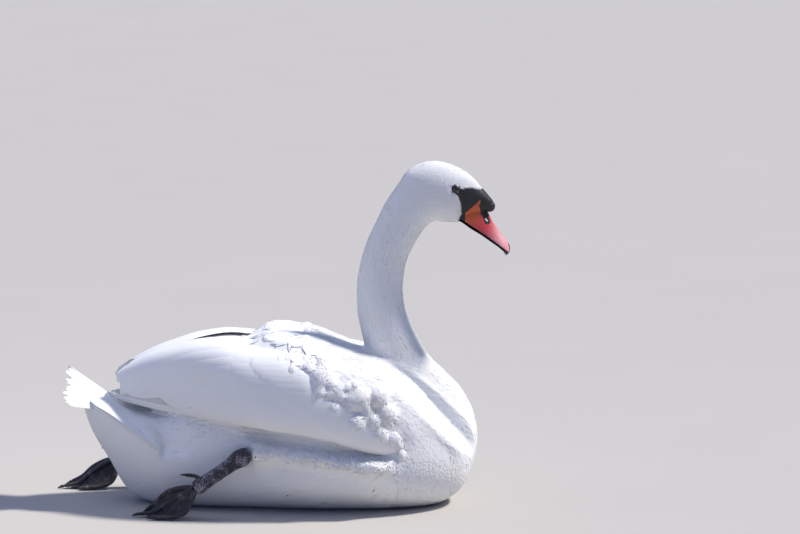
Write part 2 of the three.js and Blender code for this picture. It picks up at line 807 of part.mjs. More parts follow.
function addTrunkAndTail() {
  const whole = trunkForm();
  const corner = [
    [-420, -20],
    [-420, 400],
  ];
  const behind = (shift) => beyond([[COVERTS_FROM_X, 400], [COVERTS_FROM_X, -20]], [shift, 0], corner);
  const legs = ["right", "left"].map((side) =>
    limb(onSide((side === "right" ? RIGHT_LEG : LEFT_LEG).shank, side), LEG_SIDES, GAP),
  );
  const trunk = legs.reduce((a, b) => a.subtract(b), whole.subtract(behind(GAP / 2)));
  addNode("trunk", mainBody(trunk), WHITE_PLUMAGE);

  const coverts = whole.intersect(behind(-GAP / 2)).subtract(tailFan(GAP));
  const parts = coverts.subtract(tailSheet(2 * GAP)).decompose();
  const height = (body) => {
    const box = body.boundingBox();
    return box.min[2] + box.max[2];
  };
  const large = parts.sort((a, b) => b.volume() - a.volume()).slice(0, 2);
  large.sort((a, b) => height(b) - height(a));
  addNode("uppertail_coverts", large[0], WHITE_PLUMAGE);
  addNode("undertail_coverts", large[1], WHITE_PLUMAGE);
  addNode("tail_feathers", mainBody(tailFan().subtract(trunk)), WHITE_PLUMAGE);
}

function addWing(side) {
  const body = trunkForm(GAP).add(neckForm(0, 1, GAP));
  const scapulars = scapularForm(side).subtract(body);
  const tips = primaryForm(side).subtract(body);
  const wing = lobe(WING, side, WING_SLICES, WING_SIDES)
    .subtract(body)
    .subtract(scapularForm(side, GAP))
    .subtract(primaryForm(side, GAP));
  const g = GAP / 2;
  const above = (s) => beyond(SECONDARY_LINE, [0, s], [[80, 500], [-320, 500]]);
  const inFront = (s) => beyond(SHOULDER_LINE, [s, 0], [[500, 330], [500, 80]]);
  const behindCoverts = (s) => beyond(COVERT_LINE, [-s, 0], [[-500, 330], [-500, 100]]);
  const arm = wing.subtract(inFront(-g));
  const side1 = arm.subtract(above(-g));
  const groups = {
    scapulars,
    primaries: tips,
    shoulder: wing.intersect(inFront(g)),
    tertials: arm.intersect(above(g)),
    greater_coverts: side1.subtract(behindCoverts(-g)),
    secondaries: side1.intersect(behindCoverts(g)),
  };
  for (const [name, form] of Object.entries(groups)) {
    addNode(`wing_${side}_${name}`, mainBody(form), WHITE_PLUMAGE);
  }
}

function addLeg(side, leg) {
  const hind = (grow) => limb(onSide(asRows(leg.hind, HIND_RADII), side), 6, grow);
  const tarsus = limb(onSide(leg.tarsus, side), LEG_SIDES).add(hind(0));
  const clearance = limb(onSide(leg.tarsus, side), LEG_SIDES, GAP).add(hind(GAP));
  const shank = limb(onSide(leg.shank, side), LEG_SIDES).subtract(clearance);
  addNode(`shank_${side}`, mainBody(shank), WHITE_PLUMAGE);
  addNode(`tarsus_${side}`, tarsus, DARK_LEG);
  addNode(`foot_${side}`, mainBody(footForm(leg, side).subtract(clearance)), DARK_LEG);
  for (const [toe, points] of Object.entries(leg.toes)) {
    addNode(`claw_${side}_${toe}`, clawForm(points, side, 1), BLACK_SKIN);
  }
  addNode(`claw_${side}_hind`, clawForm(leg.hind, side, HIND_CLAW_SCALE), BLACK_SKIN);
}

addHead();
addNeck();
addTrunkAndTail();
addWing("right");
addWing("left");
addLeg("right", RIGHT_LEG);
addLeg("left", LEFT_LEG);

export default swan;
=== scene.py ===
"""A mute swan lying at rest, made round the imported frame: skin, plumage, bill, eyes, legs and feet."""

import logging
import math
from collections.abc import Callable, Sequence
from dataclasses import dataclass, field
from enum import Enum

import bmesh
import bpy
import numpy as np
from mathutils import Matrix, Vector
from mathutils.bvhtree import BVHTree


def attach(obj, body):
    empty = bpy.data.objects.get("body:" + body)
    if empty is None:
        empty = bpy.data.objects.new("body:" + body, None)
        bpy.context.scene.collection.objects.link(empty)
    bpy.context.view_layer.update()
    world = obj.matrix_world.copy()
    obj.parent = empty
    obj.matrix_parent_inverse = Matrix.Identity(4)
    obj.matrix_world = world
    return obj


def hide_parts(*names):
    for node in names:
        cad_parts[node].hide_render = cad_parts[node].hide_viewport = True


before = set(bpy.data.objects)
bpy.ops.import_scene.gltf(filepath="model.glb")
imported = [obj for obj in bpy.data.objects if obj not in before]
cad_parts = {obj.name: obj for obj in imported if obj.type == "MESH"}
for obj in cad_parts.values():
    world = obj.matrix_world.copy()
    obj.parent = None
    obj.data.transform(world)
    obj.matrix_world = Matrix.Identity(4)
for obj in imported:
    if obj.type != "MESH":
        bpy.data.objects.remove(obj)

log = logging.getLogger("swan")
Array = np.ndarray

MM = 0.001
CENTRE_X = 14.8  # the part's own x, in millimetres, is this much less than the frame's
SIDES = {"right": -1.0, "left": 1.0}
PATCH = 0.003  # width of one feather's patch on the OFBake map
PIECE_LIMIT = 190_000  # triangles
CAMBER = 2.25


# ---------------------------------------------------------------- curves and meshes


def to_frame(points: Array) -> Array:
    """Turns the part's own millimetres into the frame's metres.

    Args:
        points: positions in millimetres, with x, y and z last.

    Returns:
        The same positions in metres, in the frame.
    """
    return (np.asarray(points, float) + (CENTRE_X, 0.0, 0.0)) * MM


def to_part(points: Array) -> Array:
    """Turns the frame's metres into the part's own millimetres.

    Args:
        points: positions in metres.

    Returns:
        The same positions in millimetres.
    """
    return np.asarray(points, float) / MM - (CENTRE_X, 0.0, 0.0)


def unit(vectors: Array) -> Array:
    """Gives vectors the length 1.

    Args:
        vectors: any array with x, y and z last.

    Returns:
        The same directions, each of length 1.
    """
    return vectors / np.maximum(np.linalg.norm(vectors, axis=-1, keepdims=True), 1e-12)


def smoothstep(low: float, high: float, values: Array) -> Array:
    """Goes smoothly from 0 at low to 1 at high.

    Args:
        low: where the rise starts.
        high: where it ends; it may be less than low.
        values: what is compared with them.

    Returns:
        Numbers from 0 to 1.
    """
    t = np.clip((values - low) / (high - low), 0.0, 1.0)
    return t * t * (3.0 - 2.0 * t)


def read_table(rows: Sequence[Sequence[float]], at: Array) -> Array:
    """Reads a table of rows between its lines, smoothly and without overshoot.

    Args:
        rows: lines of a place and the values there, by rising place.
        at: the places to read.

    Returns:
        One line of values for each place.
    """
    table = np.asarray(rows, float)
    x, y = table[:, 0], table[:, 1:]
    h = np.diff(x)[:, None]
    slope = np.diff(y, axis=0) / h
    rate = np.zeros_like(y)
    before, after = slope[:-1], slope[1:]
    w1, w2 = 2 * h[1:] + h[:-1], h[1:] + 2 * h[:-1]
    with np.errstate(divide="ignore", invalid="ignore"):
        mean = (w1 + w2) / (w1 / before + w2 / after)
    rate[1:-1] = np.where(before * after > 0, mean, 0.0)
    rate[0], rate[-1] = slope[0], slope[-1]
    at = np.clip(np.asarray(at, float), x[0], x[-1])
    i = np.clip(np.searchsorted(x, at) - 1, 0, len(x) - 2)
    t = ((at - x[i]) / (x[i + 1] - x[i]))[..., None]
    step = h[i]
    return (
        (1 + 2 * t) * (1 - t) ** 2 * y[i]
        + t * (1 - t) ** 2 * step * rate[i]
        + t * t * (3 - 2 * t) * y[i + 1]
        + t * t * (t - 1) * step * rate[i + 1]
    )


def read_line(points: Array, count: int = 120) -> Array:
    """Walks along a bent line in even steps.

    Args:
        points: the line's corners.
        count: how many places are wanted.

    Returns:
        Those places.
    """
    walked = np.concatenate([[0.0], np.cumsum(np.linalg.norm(np.diff(points, axis=0), axis=1))])
    at = np.linspace(0, walked[-1], count)
    return np.stack([np.interp(at, walked, points[:, k]) for k in range(points.shape[1])], -1)


def rounded(angle: Array, exponent: float | Array) -> tuple[Array, Array]:
    """Cosine and sine of a superellipse.

    Args:
        angle: angles in radians.
        exponent: 2 for an ellipse, more for a squarer section.

    Returns:
        The two coordinates, each from -1 to 1.
    """
    c, s = np.cos(angle), np.sin(angle)
    power = 2.0 / np.asarray(exponent, float)
    return np.sign(c) * np.abs(c) ** power, np.sign(s) * np.abs(s) ** power


def make_object(name: str, points: Array, polygons: Sequence[Array]) -> bpy.types.Object:
    """Makes a mesh object with its place in its mesh.

    Args:
        name: the object's name.
        points: vertices in metres.
        polygons: arrays of faces, each of one number of corners.

    Returns:
        The new object, shaded smooth.
    """
    polygons = [np.asarray(p, np.int32) for p in polygons if len(p)]
    sizes = np.concatenate([np.full(len(p), p.shape[1], np.int32) for p in polygons])
    corners = np.concatenate([p.ravel() for p in polygons])
    mesh = bpy.data.meshes.new(name)
    mesh.vertices.add(len(points))
    mesh.vertices.foreach_set("co", np.asarray(points, np.float32).ravel())
    mesh.loops.add(len(corners))
    mesh.loops.foreach_set("vertex_index", corners)
    mesh.polygons.add(len(sizes))
    mesh.polygons.foreach_set("loop_start", np.concatenate([[0], np.cumsum(sizes)[:-1]]).astype(np.int32))
    mesh.update(calc_edges=True)
    mesh.polygons.foreach_set("use_smooth", np.ones(len(sizes), bool))
    obj = bpy.data.objects.new(name, mesh)
    bpy.context.scene.collection.objects.link(obj)
    return obj


def smooth(obj: bpy.types.Object) -> None:
    """Shades every face of a piece smooth."""
    obj.data.polygons.foreach_set("use_smooth", np.ones(len(obj.data.polygons), bool))


def pitched(points: Array, degrees: float) -> Array:
    """Turns places nose down, about the axis that runs across the bird.

    Args:
        points: places in millimetres.
        degrees: how far the nose goes down.

    Returns:
        The turned places.
    """
    turn = math.radians(degrees)
    c, s = math.cos(turn), math.sin(turn)
    return np.stack(
        [points[:, 0] * c + points[:, 2] * s, points[:, 1], -points[:, 0] * s + points[:, 2] * c], -1,
    )


def gathered(parts: Sequence[tuple[Array, Sequence[Array]]]) -> tuple[Array, list[Array]]:
    """Puts several forms together as one.

    Args:
        parts: the points of each form, with its faces.

    Returns:
        All points, and all faces with four corners and with three.
    """
    points, quads, tris, start = [], [], [], 0
    for own, polygons in parts:
        points.append(own)
        for faces in polygons:
            (quads if faces.shape[1] == 4 else tris).append(faces + start)
        start += len(own)
    return np.concatenate(points), [np.concatenate(quads), np.concatenate(tris)]


def mesh_arrays(mesh: bpy.types.Mesh) -> tuple[Array, Array]:
    """Reads a mesh.

    Args:
        mesh: any mesh.

    Returns:
        Its vertices, and its faces as triangles.
    """
    points = np.empty(len(mesh.vertices) * 3, np.float32)
    mesh.vertices.foreach_get("co", points)
    mesh.calc_loop_triangles()
    triangles = np.empty(len(mesh.loop_triangles) * 3, np.int32)
    mesh.loop_triangles.foreach_get("vertices", triangles)
    return points.reshape(-1, 3).astype(float), triangles.reshape(-1, 3)


def bake_modifiers(obj: bpy.types.Object) -> bpy.types.Object:
    """Turns the modified shape into a plain mesh and removes the modifiers.

    Args:
        obj: an object with modifiers.

    Returns:
        The same object.
    """
    bpy.context.view_layer.update()
    evaluated = obj.evaluated_get(bpy.context.evaluated_depsgraph_get())
    made = bpy.data.meshes.new_from_object(evaluated)
    obj.modifiers.clear()
    old, obj.data = obj.data, made
    bpy.data.meshes.remove(old)
    made.name = obj.name
    return obj


def loft(rings: Array) -> tuple[Array, list[Array]]:
    """Closes a body over its rings.

    Args:
        rings: equal rings of points, anticlockwise as seen from the end that they lead to.

    Returns:
        Its points, and its faces.
    """
    count, sides = rings.shape[:2]
    points = np.concatenate([rings.reshape(-1, 3), rings[:1].mean(1), rings[-1:].mean(1)])
    i, j = np.meshgrid(np.arange(count - 1), np.arange(sides), indexing="ij")
    nxt = (j + 1) % sides
    quads = np.stack([i * sides + j, i * sides + nxt, (i + 1) * sides + nxt, (i + 1) * sides + j], -1)
    j = np.arange(sides)
    first, last = count * sides, count * sides + 1
    start = np.stack([np.full(sides, first), (j + 1) % sides, j], -1)
    end_ring = (count - 1) * sides
    end = np.stack([np.full(sides, last), end_ring + j, end_ring + (j + 1) % sides], -1)
    return points, [quads.reshape(-1, 4), np.concatenate([start, end])]


def outward(points: Array, polygons: list[Array]) -> list[Array]:
    """Turns a closed body's faces outwards.

    Args:
        points: its vertices.
        polygons: its faces.

    Returns:
        The faces, all turned round if they pointed inwards.
    """
    volume = 0.0
    for faces in polygons:
        for k in range(1, faces.shape[1] - 1):
            a, b, c = points[faces[:, 0]], points[faces[:, k]], points[faces[:, k + 1]]
            volume += float(np.einsum("ij,ij->i", a, np.cross(b, c)).sum())
    return polygons if volume > 0 else [faces[:, ::-1] for faces in polygons]


def limb(rows: Sequence[Sequence[float]], rings: int, sides: int, exponent: float = 2.0) -> Array:
    """Rings along a bent limb.

    Args:
        rows: lines of x, y, z, half width and half depth.
        rings: how many rings.
        sides: points in a ring.
        exponent: the section's superellipse.

    Returns:
        The rings' points, in the rows' own units.
    """
    table = np.asarray(rows, float)
    steps = np.linalg.norm(np.diff(table[:, :3], axis=0), axis=1)
    walked = np.concatenate([[0.0], np.cumsum(steps)])
    ease = np.linspace(-1, 1, rings)
    share = 0.5 + 0.5 * (0.65 * ease + 0.35 * np.sin(ease * math.pi / 2))
    path = read_table(np.column_stack([walked, table]), share * walked[-1])
    ahead = unit(np.gradient(path[:, :3], axis=0))
    side = unit(np.cross(ahead, (0.0, 0.0, 1.0)))
    up = np.cross(side, ahead)
    c, s = rounded(np.linspace(0, 2 * math.pi, sides, endpoint=False), exponent)
    round_end = np.ones(rings)
    round_end[0] = round_end[-1] = 0.55
    width = (path[:, 3] * round_end)[:, None, None]
    depth = (path[:, 4] * round_end)[:, None, None]
    return (
        path[:, None, :3] + side[:, None] * c[None, :, None] * width
        + up[:, None] * s[None, :, None] * depth
    )


def mirrored(rows: Sequence[Sequence[float]], side: float) -> list[list[float]]:
    """Puts rows that are written outwards from the middle on one side.

    Args:
        rows: lines whose second number is the distance from the middle plane.
        side: -1 for the right, 1 for the left.

    Returns:
        The lines with y on that side.
    """
    return [[row[0], side * row[1], *row[2:]] for row in rows]


class Surface:
    """A closed surface that feathers are laid on."""

    def __init__(self, points: Array, triangles: Array) -> None:
        """Prepares the surface for nearest points.

        Args:
            points: vertices in metres.
            triangles: faces.
        """
        self.points, self.triangles = points, triangles
        self.tree = BVHTree.FromPolygons(points.tolist(), triangles.tolist())
        corners = points[triangles]
        cross = np.cross(corners[:, 1] - corners[:, 0], corners[:, 2] - corners[:, 0])
        self.areas = np.linalg.norm(cross, axis=1) / 2
        self.face_normals = unit(cross)
        normals = np.zeros_like(points)
        for k in range(3):
            np.add.at(normals, triangles[:, k], cross)
        self.normals = unit(normals)

    def nearest(self, points: Array) -> tuple[Array, Array, Array]:
        """Finds the nearest places on the surface.

        Args:
            points: any positions, in metres.

        Returns:
            The nearest positions, the smooth normals there and the distances.
        """
        flat = points.reshape(-1, 3)
        find = self.tree.find_nearest
        found = [find(p) for p in flat.tolist()]
        places = np.array([f[0][:] for f in found])
        faces = np.array([f[2] for f in found])
        distances = np.array([f[3] for f in found])
        corners = self.points[self.triangles[faces]]
        weights = 1.0 / (np.linalg.norm(corners - places[:, None], axis=2) + 2e-4)
        weights /= weights.sum(1, keepdims=True)
        normals = unit((self.normals[self.triangles[faces]] * weights[..., None]).sum(1))
        shape = points.shape
        return places.reshape(shape), normals.reshape(shape), distances.reshape(shape[:-1])

    def scatter(
        self, spacing: float, chosen: Array, keep: Callable[[Array], Array], rng: np.random.Generator,
    ) -> Array:
        """Spreads feather roots evenly, no two closer than the spacing.

        Args:
            spacing: the least distance in metres.
            chosen: which faces may carry a root.
            keep: tells which positions may carry a root.
            rng: the seeded source of chance.

        Returns:
            The roots' positions.
        """
        areas = self.areas * (chosen & keep(self.points[self.triangles].mean(1)))
        total = areas.sum()
        if total <= 0:
            return np.empty((0, 3))
        count = int(5.0 * total / spacing**2)
        faces = rng.choice(len(areas), count, p=areas / total)
        a, b = np.sqrt(rng.random(count)), rng.random(count)
        corners = self.points[self.triangles[faces]]
        spots = (
            corners[:, 0] * (1 - a)[:, None] + corners[:, 1] * (a * (1 - b))[:, None]
            + corners[:, 2] * (a * b)[:, None]
        )
        spots = spots[keep(spots)]
        cells: dict[tuple[int, int, int], list[Array]] = {}
        grid = np.floor(spots / spacing).astype(int)
        around = [(i, j, k) for i in (-1, 0, 1) for j in (-1, 0, 1) for k in (-1, 0, 1)]
        kept = []
        limit = spacing * spacing
        for spot, (cx, cy, cz) in zip(spots.tolist(), grid.tolist()):
            free = True
            for i, j, k in around:
                for other in cells.get((cx + i, cy + j, cz + k), ()):
                    dx, dy, dz = spot[0] - other[0], spot[1] - other[1], spot[2] - other[2]
                    if dx * dx + dy * dy + dz * dz < limit:
                        free = False
                        break
                if not free:
                    break
            if free:
                cells.setdefault((cx, cy, cz), []).append(spot)
                kept.append(spot)
        return np.array(kept)


# ---------------------------------------------------------------- the body's forms


@dataclass
class HeadForm:
    """The head, pitched down from the neck. Sizes in millimetres and degrees."""

    origin: tuple[float, float] = (250.0, 515.0)  # x and z
    pitch: float = 25.0
    rows: tuple = (  # along, top, bottom, half width
        (-68, -2, -22, 6), (-65, 10, -32, 16), (-56, 25, -44, 25), (-38, 41, -51, 31.5),
        (-20, 48.5, -52, 34),
        (0, 51.5, -49.5, 34.5), (20, 50.8, -43.5, 32), (38, 47.2, -37, 27.5), (53, 40.5, -28.5, 22.5),
        (64, 35.6, -14, 18.5), (74, 31, -4, 14.5), (83, 26.5, 8, 10), (89, 20.5, 14, 4.5),
    )
    exponent: float = 2.15
    bare_outline: tuple = (  # along and up, round the bare skin before the eye
        (11.5, 19.5), (14.5, 24.5), (20, 26), (25, 23.2), (30, 23.6), (35, 27.5), (42, 31), (52, 32.5),
        (60, 35), (66, 38),
        (73, 38), (82, 30), (92, 22), (100, -2), (62, -34), (51.5, -32), (49.5, -24), (46, -14), (41, -4),
        (36, 3), (29, 10), (21, 13.2), (15, 14.5),
    )
    eye: tuple[float, float, float] = (20.0, 17.6, 24.6)  # along, up, side
    eye_radius: float = 6.9
    eye_clear: float = 6.2
    knob: tuple[float, float] = (81.0, 14.5)
    knob_radii: tuple[float, float, float] = (11.5, 10.5, 10.0)

    def place(self, along: Array, side: Array, up: Array) -> Array:
        """Puts places in the head's own directions into the part's millimetres.

        Args:
            along: distances along the head.
            side: distances from the middle plane.
            up: distances up the head.

        Returns:
            Points in the part's millimetres.
        """
        turn = math.radians(self.pitch)
        x = self.origin[0] + along * math.cos(turn) + up * math.sin(turn)
        z = self.origin[1] - along * math.sin(turn) + up * math.cos(turn)
        return np.stack(np.broadcast_arrays(x, side, z), -1)

    def local(self, points: Array) -> tuple[Array, Array]:
        """Reads places in metres as distances along and up the head, in millimetres.

        Args:
            points: places in metres.

        Returns:
            The distances along, and those up.
        """
        part = to_part(points)
        turn = math.radians(self.pitch)
        dx, dz = part[..., 0] - self.origin[0], part[..., 2] - self.origin[1]
        return dx * math.cos(turn) - dz * math.sin(turn), dx * math.sin(turn) + dz * math.cos(turn)

    def rings(self, along: Array, sides: int, grow: float = 0.0) -> Array:
        """Rings round the head.

        Args:
            along: where the rings are.
            sides: points in a ring.
            grow: how much larger than life, in millimetres.

        Returns:
            Points in the part's millimetres.
        """
        top, bottom, width = read_table(self.rows, along).T[..., None]
        c, s = rounded(np.linspace(0, 2 * math.pi, sides, endpoint=False), self.exponent)
        level, height = (top + bottom) / 2, (top - bottom) / 2
        return self.place(along[:, None], c * (width + grow), level + s * (height + grow))

    def in_bare(self, along: Array, up: Array, margin: float = 0.0) -> Array:
        """Tells which places lie within the bare skin's outline.

        Args:
            along: distances along the head, in millimetres.
            up: distances up the head.
            margin: how far the outline is moved outwards.

        Returns:
            True for each place inside.
        """
        outline = np.asarray(self.bare_outline, float)
        nxt = np.roll(outline, -1, axis=0)
        inside = np.zeros(along.shape, bool)
        nearest = np.full(along.shape, np.inf)
        for (x0, y0), (x1, y1) in zip(outline, nxt):
            crosses = (y0 > up) != (y1 > up)
            with np.errstate(divide="ignore", invalid="ignore"):
                at = (x1 - x0) * (up - y0) / (y1 - y0) + x0
            inside ^= crosses & (along < at)
            length = (x1 - x0) ** 2 + (y1 - y0) ** 2
            t = np.clip(((along - x0) * (x1 - x0) + (up - y0) * (y1 - y0)) / length, 0, 1)
            nearest = np.minimum(nearest, np.hypot(along - x0 - t * (x1 - x0), up - y0 - t * (y1 - y0)))
        return np.where(inside, nearest, -nearest) > -margin


@dataclass
class BodyForms:
    """The trunk, neck, wings and shoulder feathers as plain closed bodies. Sizes in millimetres."""

    head: HeadForm = field(default_factory=HeadForm)
    trunk: tuple = (  # x, half width, top, level of the widest place, bottom, section
        (-338, 30, 180, 172, 152, 1.6), (-328, 46, 186, 170, 122, 1.5), (-298, 68, 181, 162, 70, 1.5),
        (-270, 80, 166, 142, 22, 1.55), (-240, 91, 158, 123, 1, 1.7), (-212, 99, 163, 106, -5, 2),
        (-140, 116, 196, 90, -8, CAMBER), (-70, 130, 236, 88, -8, CAMBER), (0, 148, 258, 84, -8, CAMBER),
        (60, 157, 264, 82, -8, CAMBER), (130, 157, 256, 82, -8, CAMBER), (185, 147, 236, 84, -8, CAMBER),
        (230, 128, 208, 88, -5, CAMBER), (265, 104, 180, 94, 6, CAMBER), (292, 76, 158, 102, 32, CAMBER),
        (306, 48, 140, 108, 66, CAMBER), (313, 16, 122, 110, 98, CAMBER),
    )
    neck: tuple = (  # x, z, half depth, half width
        (250, 92, 50, 54), (256, 126, 55, 54), (243, 156, 55, 50), (223, 184, 50.5, 46),
        (199, 212, 46.5, 43),
        (173, 258, 43.5, 40), (159, 296, 41, 38), (152, 327, 39.2, 37), (150.5, 356, 38.3, 36),
        (154, 387, 37.6, 34.5), (162, 418, 36.6, 33.5), (177, 450, 37, 33), (194, 480, 40, 33.5),
        (216, 508, 42, 34),
    )
    wing: tuple = (  # x, outer side, inner side, top, lower edge
        (-293, 24, 3, 200, 184), (-286, 32, 2, 215, 177), (-264, 43, 1.5, 230, 171),
        (-225, 63, 1.5, 250, 162),
        (-185, 88, 1.5, 263, 153), (-145, 114, 1.5, 273, 146), (-100, 138, 1.5, 277, 138),
        (-55, 154, 1.5, 273, 132),
        (0, 164, 1.5, 272, 125), (45, 168, 2, 269, 117), (85, 168, 8, 262, 108), (125, 164, 24, 253, 98),
        (165, 154, 40, 231, 93), (205, 139, 48, 195, 94), (240, 120, 52, 159, 95), (268, 100, 56, 128, 92),
        (284, 84, 62, 108, 88),
    )
    saddle: tuple = (  # x, half width, top, bottom: fills the back between the wings
        (-262, 10, 221, 190), (-228, 20, 243, 195), (-185, 30, 259, 200), (-145, 38, 269.5, 205),
        (-100, 44, 273.5, 205),
        (-55, 46, 270, 205), (0, 44, 266, 200), (34, 34, 261, 200),
    )
    wing_reach: tuple[float, float] = (-280.0, 284.0)  # x of the wings' ends
    scapulars: tuple = (
        (-50, 80, 10, 280, 250), (-42, 96, 7, 288, 240), (-30, 106, 6, 291, 234), (0, 114, 6, 290, 230),
        (40, 114, 8, 286, 228), (75, 106, 14, 273, 224), (105, 92, 26, 261, 226), (122, 78, 38, 252, 230),
    )
    shanks: dict = field(default_factory=lambda: {
        "right": (
            (4, 112, 84, 20, 22), (-16, 126, 92, 17, 18), (-42, 137, 96, 15, 16), (-58, 143, 99, 12, 13),
        ),
        "left": (
            (-136, 88, 74, 20, 22), (-156, 100, 80, 17, 18), (-182, 112, 83, 15, 16),
            (-202, 118, 86, 12, 13),
        ),
    })
    wing_edge: tuple = (  # x, z of the wing's free lower edge
        (-293, 186), (-264, 180), (-235, 172), (-202, 166), (-146, 161), (-80, 151), (-20, 143), (19, 139),
        (85, 124), (125, 110), (165, 99), (284, 88),
    )
    # outside, and inside where the wings meet over the back
    wing_exponents: tuple[float, float] = (2.8, 7.0)
    wing_lean: float = 0.14
    voxel: float = 3.0
    # x, z of the fold under the wing
    fold: tuple = ((-75, 138), (-60, 135), (24, 122), (111, 108), (160, 104), (185, 104))
    fold_depth: float = 15.0
    # x, z where the tail's root ends
    leaf: tuple = ((-262, 176), (-249, 166), (-234, 152), (-217, 131), (-208, 108), (-206, 96))
    # x, z where the neck goes in
    shoulder: tuple = ((118, 272), (131, 258), (171, 225), (210, 191), (247, 147), (283, 110), (303, 84))

    def trunk_rings(self, count: int = 110, sides: int = 96) -> Array:
        """Rings round the trunk, laid flat where it rests on the floor.

        Args:
            count: how many rings.
            sides: points in a ring.

        Returns:
            Points in the part's millimetres.
        """
        x = np.linspace(self.trunk[0][0], self.trunk[-1][0], count)
        width, top, level, bottom, power = read_table(self.trunk, x).T[..., None]
        c, s = rounded(np.linspace(0, 2 * math.pi, sides, endpoint=False), power)
        z = level + s * np.where(s > 0, top - level, level - bottom)
        return np.stack(np.broadcast_arrays(x[:, None], c * width, np.maximum(z, 0.0)), -1)

    def saddle_rings(self, count: int = 60, sides: int = 40) -> Array:
        """Rings round the filling between the wings.

        Args:
            count: how many rings.
            sides: points in a ring.

        Returns:
            Points in the part's millimetres.
        """
        x = np.linspace(self.saddle[0][0], self.saddle[-1][0], count)
        width, top, low = read_table(self.saddle, x).T[..., None]
        c, s = rounded(np.linspace(0, 2 * math.pi, sides, endpoint=False), 4.0)
        return np.stack(
            np.broadcast_arrays(x[:, None], c * width, (top + low) / 2 + s * (top - low) / 2), -1,
        )

    def neck_line(self, count: int = 90) -> Array:
        """Lines of x, z, half depth and half width down the neck's middle."""
        table = np.asarray(self.neck, float)
        walked = np.concatenate([[0.0], np.cumsum(np.hypot(*np.diff(table[:, :2], axis=0).T))])
        return read_table(np.column_stack([walked, table]), np.linspace(0, walked[-1], count))

    def neck_rings(self, count: int = 90, sides: int = 72) -> Array:
        """Rings round the neck.

        Args:
            count: how many rings.
            sides: points in a ring.

        Returns:
            Points in the part's millimetres.
        """
        line = self.neck_line(count)
        ahead = unit(np.gradient(line[:, :2], axis=0))
        angle = np.linspace(0, 2 * math.pi, sides, endpoint=False)
        front = (
            np.stack([ahead[:, 1], -ahead[:, 0]], -1)[:, None]
            * (np.cos(angle)[None, :, None] * line[:, 2, None, None])
        )
        side = np.sin(angle)[None] * line[:, 3, None]
        return np.stack([line[:, None, 0] + front[..., 0], side, line[:, None, 1] + front[..., 1]], -1)

    def lobe_rings(self, rows: Sequence, side: float, x: Array, sides: int, inset: float = 0.0) -> Array:
        """Rings round a rounded body beside the middle plane.

        Args:
            rows: lines of x, outer side, inner side, top and lower edge.
            side: -1 for the right, 1 for the left.
            x: where the rings are.
            sides: points in a ring.
            inset: how much smaller than life.

        Returns:
            Points in the part's millimetres.
        """
        outer, inner, top, low = read_table(rows, x).T[..., None]
        middle, width = (outer + inner) / 2, (outer - inner) / 2
        level, height = (top + low) / 2, (top - low) / 2
        c, s = self.wing_section(np.linspace(0, 2 * math.pi, sides, endpoint=False))
        y = middle + c * np.maximum(width - inset, 1) - s * self.wing_lean * width
        z = level + s * np.maximum(height - inset, 2)
        return np.stack(np.broadcast_arrays(x[:, None], side * np.maximum(y, np.minimum(inner, 1)), z), -1)

    def wing_section(self, angle: Array) -> tuple[Array, Array]:
        """Cosine and sine of the wing's section, which is squarer inside."""
        outside, inside = self.wing_exponents
        return rounded(angle, np.where(np.cos(angle) < 0, inside, outside))

    def union(self) -> tuple[Array, Array]:
        """Joins all the forms of flesh and plumage into one closed surface.

        Returns:
            Its vertices in metres, and its triangles.
        """
        head_along = np.linspace(self.head.rows[0][0], self.head.rows[-1][0], 70)
        bodies = [
            self.trunk_rings(), self.neck_rings(), self.head.rings(head_along, 72), self.saddle_rings()
        ]
        for name, side in SIDES.items():
            bodies.append(
                self.lobe_rings(self.wing, side, np.linspace(*self.wing_reach, 110), 72, inset=2.0)
            )
            bodies.append(self.lobe_rings(self.scapulars, side, np.linspace(-47, 122, 50), 48, inset=1.0))
            bodies.append(limb(mirrored(self.shanks[name], side), 16, 24))
        lofts = [loft(to_frame(rings)) for rings in bodies]
        obj = make_object("union", *gathered([(own, outward(own, polygons)) for own, polygons in lofts]))
        remesh = obj.modifiers.new("Join", "REMESH")
        remesh.mode = "VOXEL"
        remesh.voxel_size = self.voxel * MM
        bake_modifiers(obj)
        found = mesh_arrays(obj.data)
        bpy.data.objects.remove(obj)
        return found

    def smoothing(self, points: Array) -> Array:
        """How softly the joined surface flows at each place, from 0 to 1.

        Args:
            points: places in metres.

        Returns:
            A share for each place.
        """
        x, _, z = to_part(points).T
        neck_foot = 0.25 * smoothstep(300, 170, z) * smoothstep(170, 215, x)
        nape = smoothstep(60, 25, np.hypot(x - 205, z - 490))
        wing_front = smoothstep(140, 190, x) * smoothstep(250, 190, z)
        throat = smoothstep(34, 14, np.hypot(x - 219, z - 452))
        return np.clip(0.12 - 0.10 * throat + 0.75 * neck_foot + 0.8 * nape + 0.5 * wing_front, 0.0, 1.0)

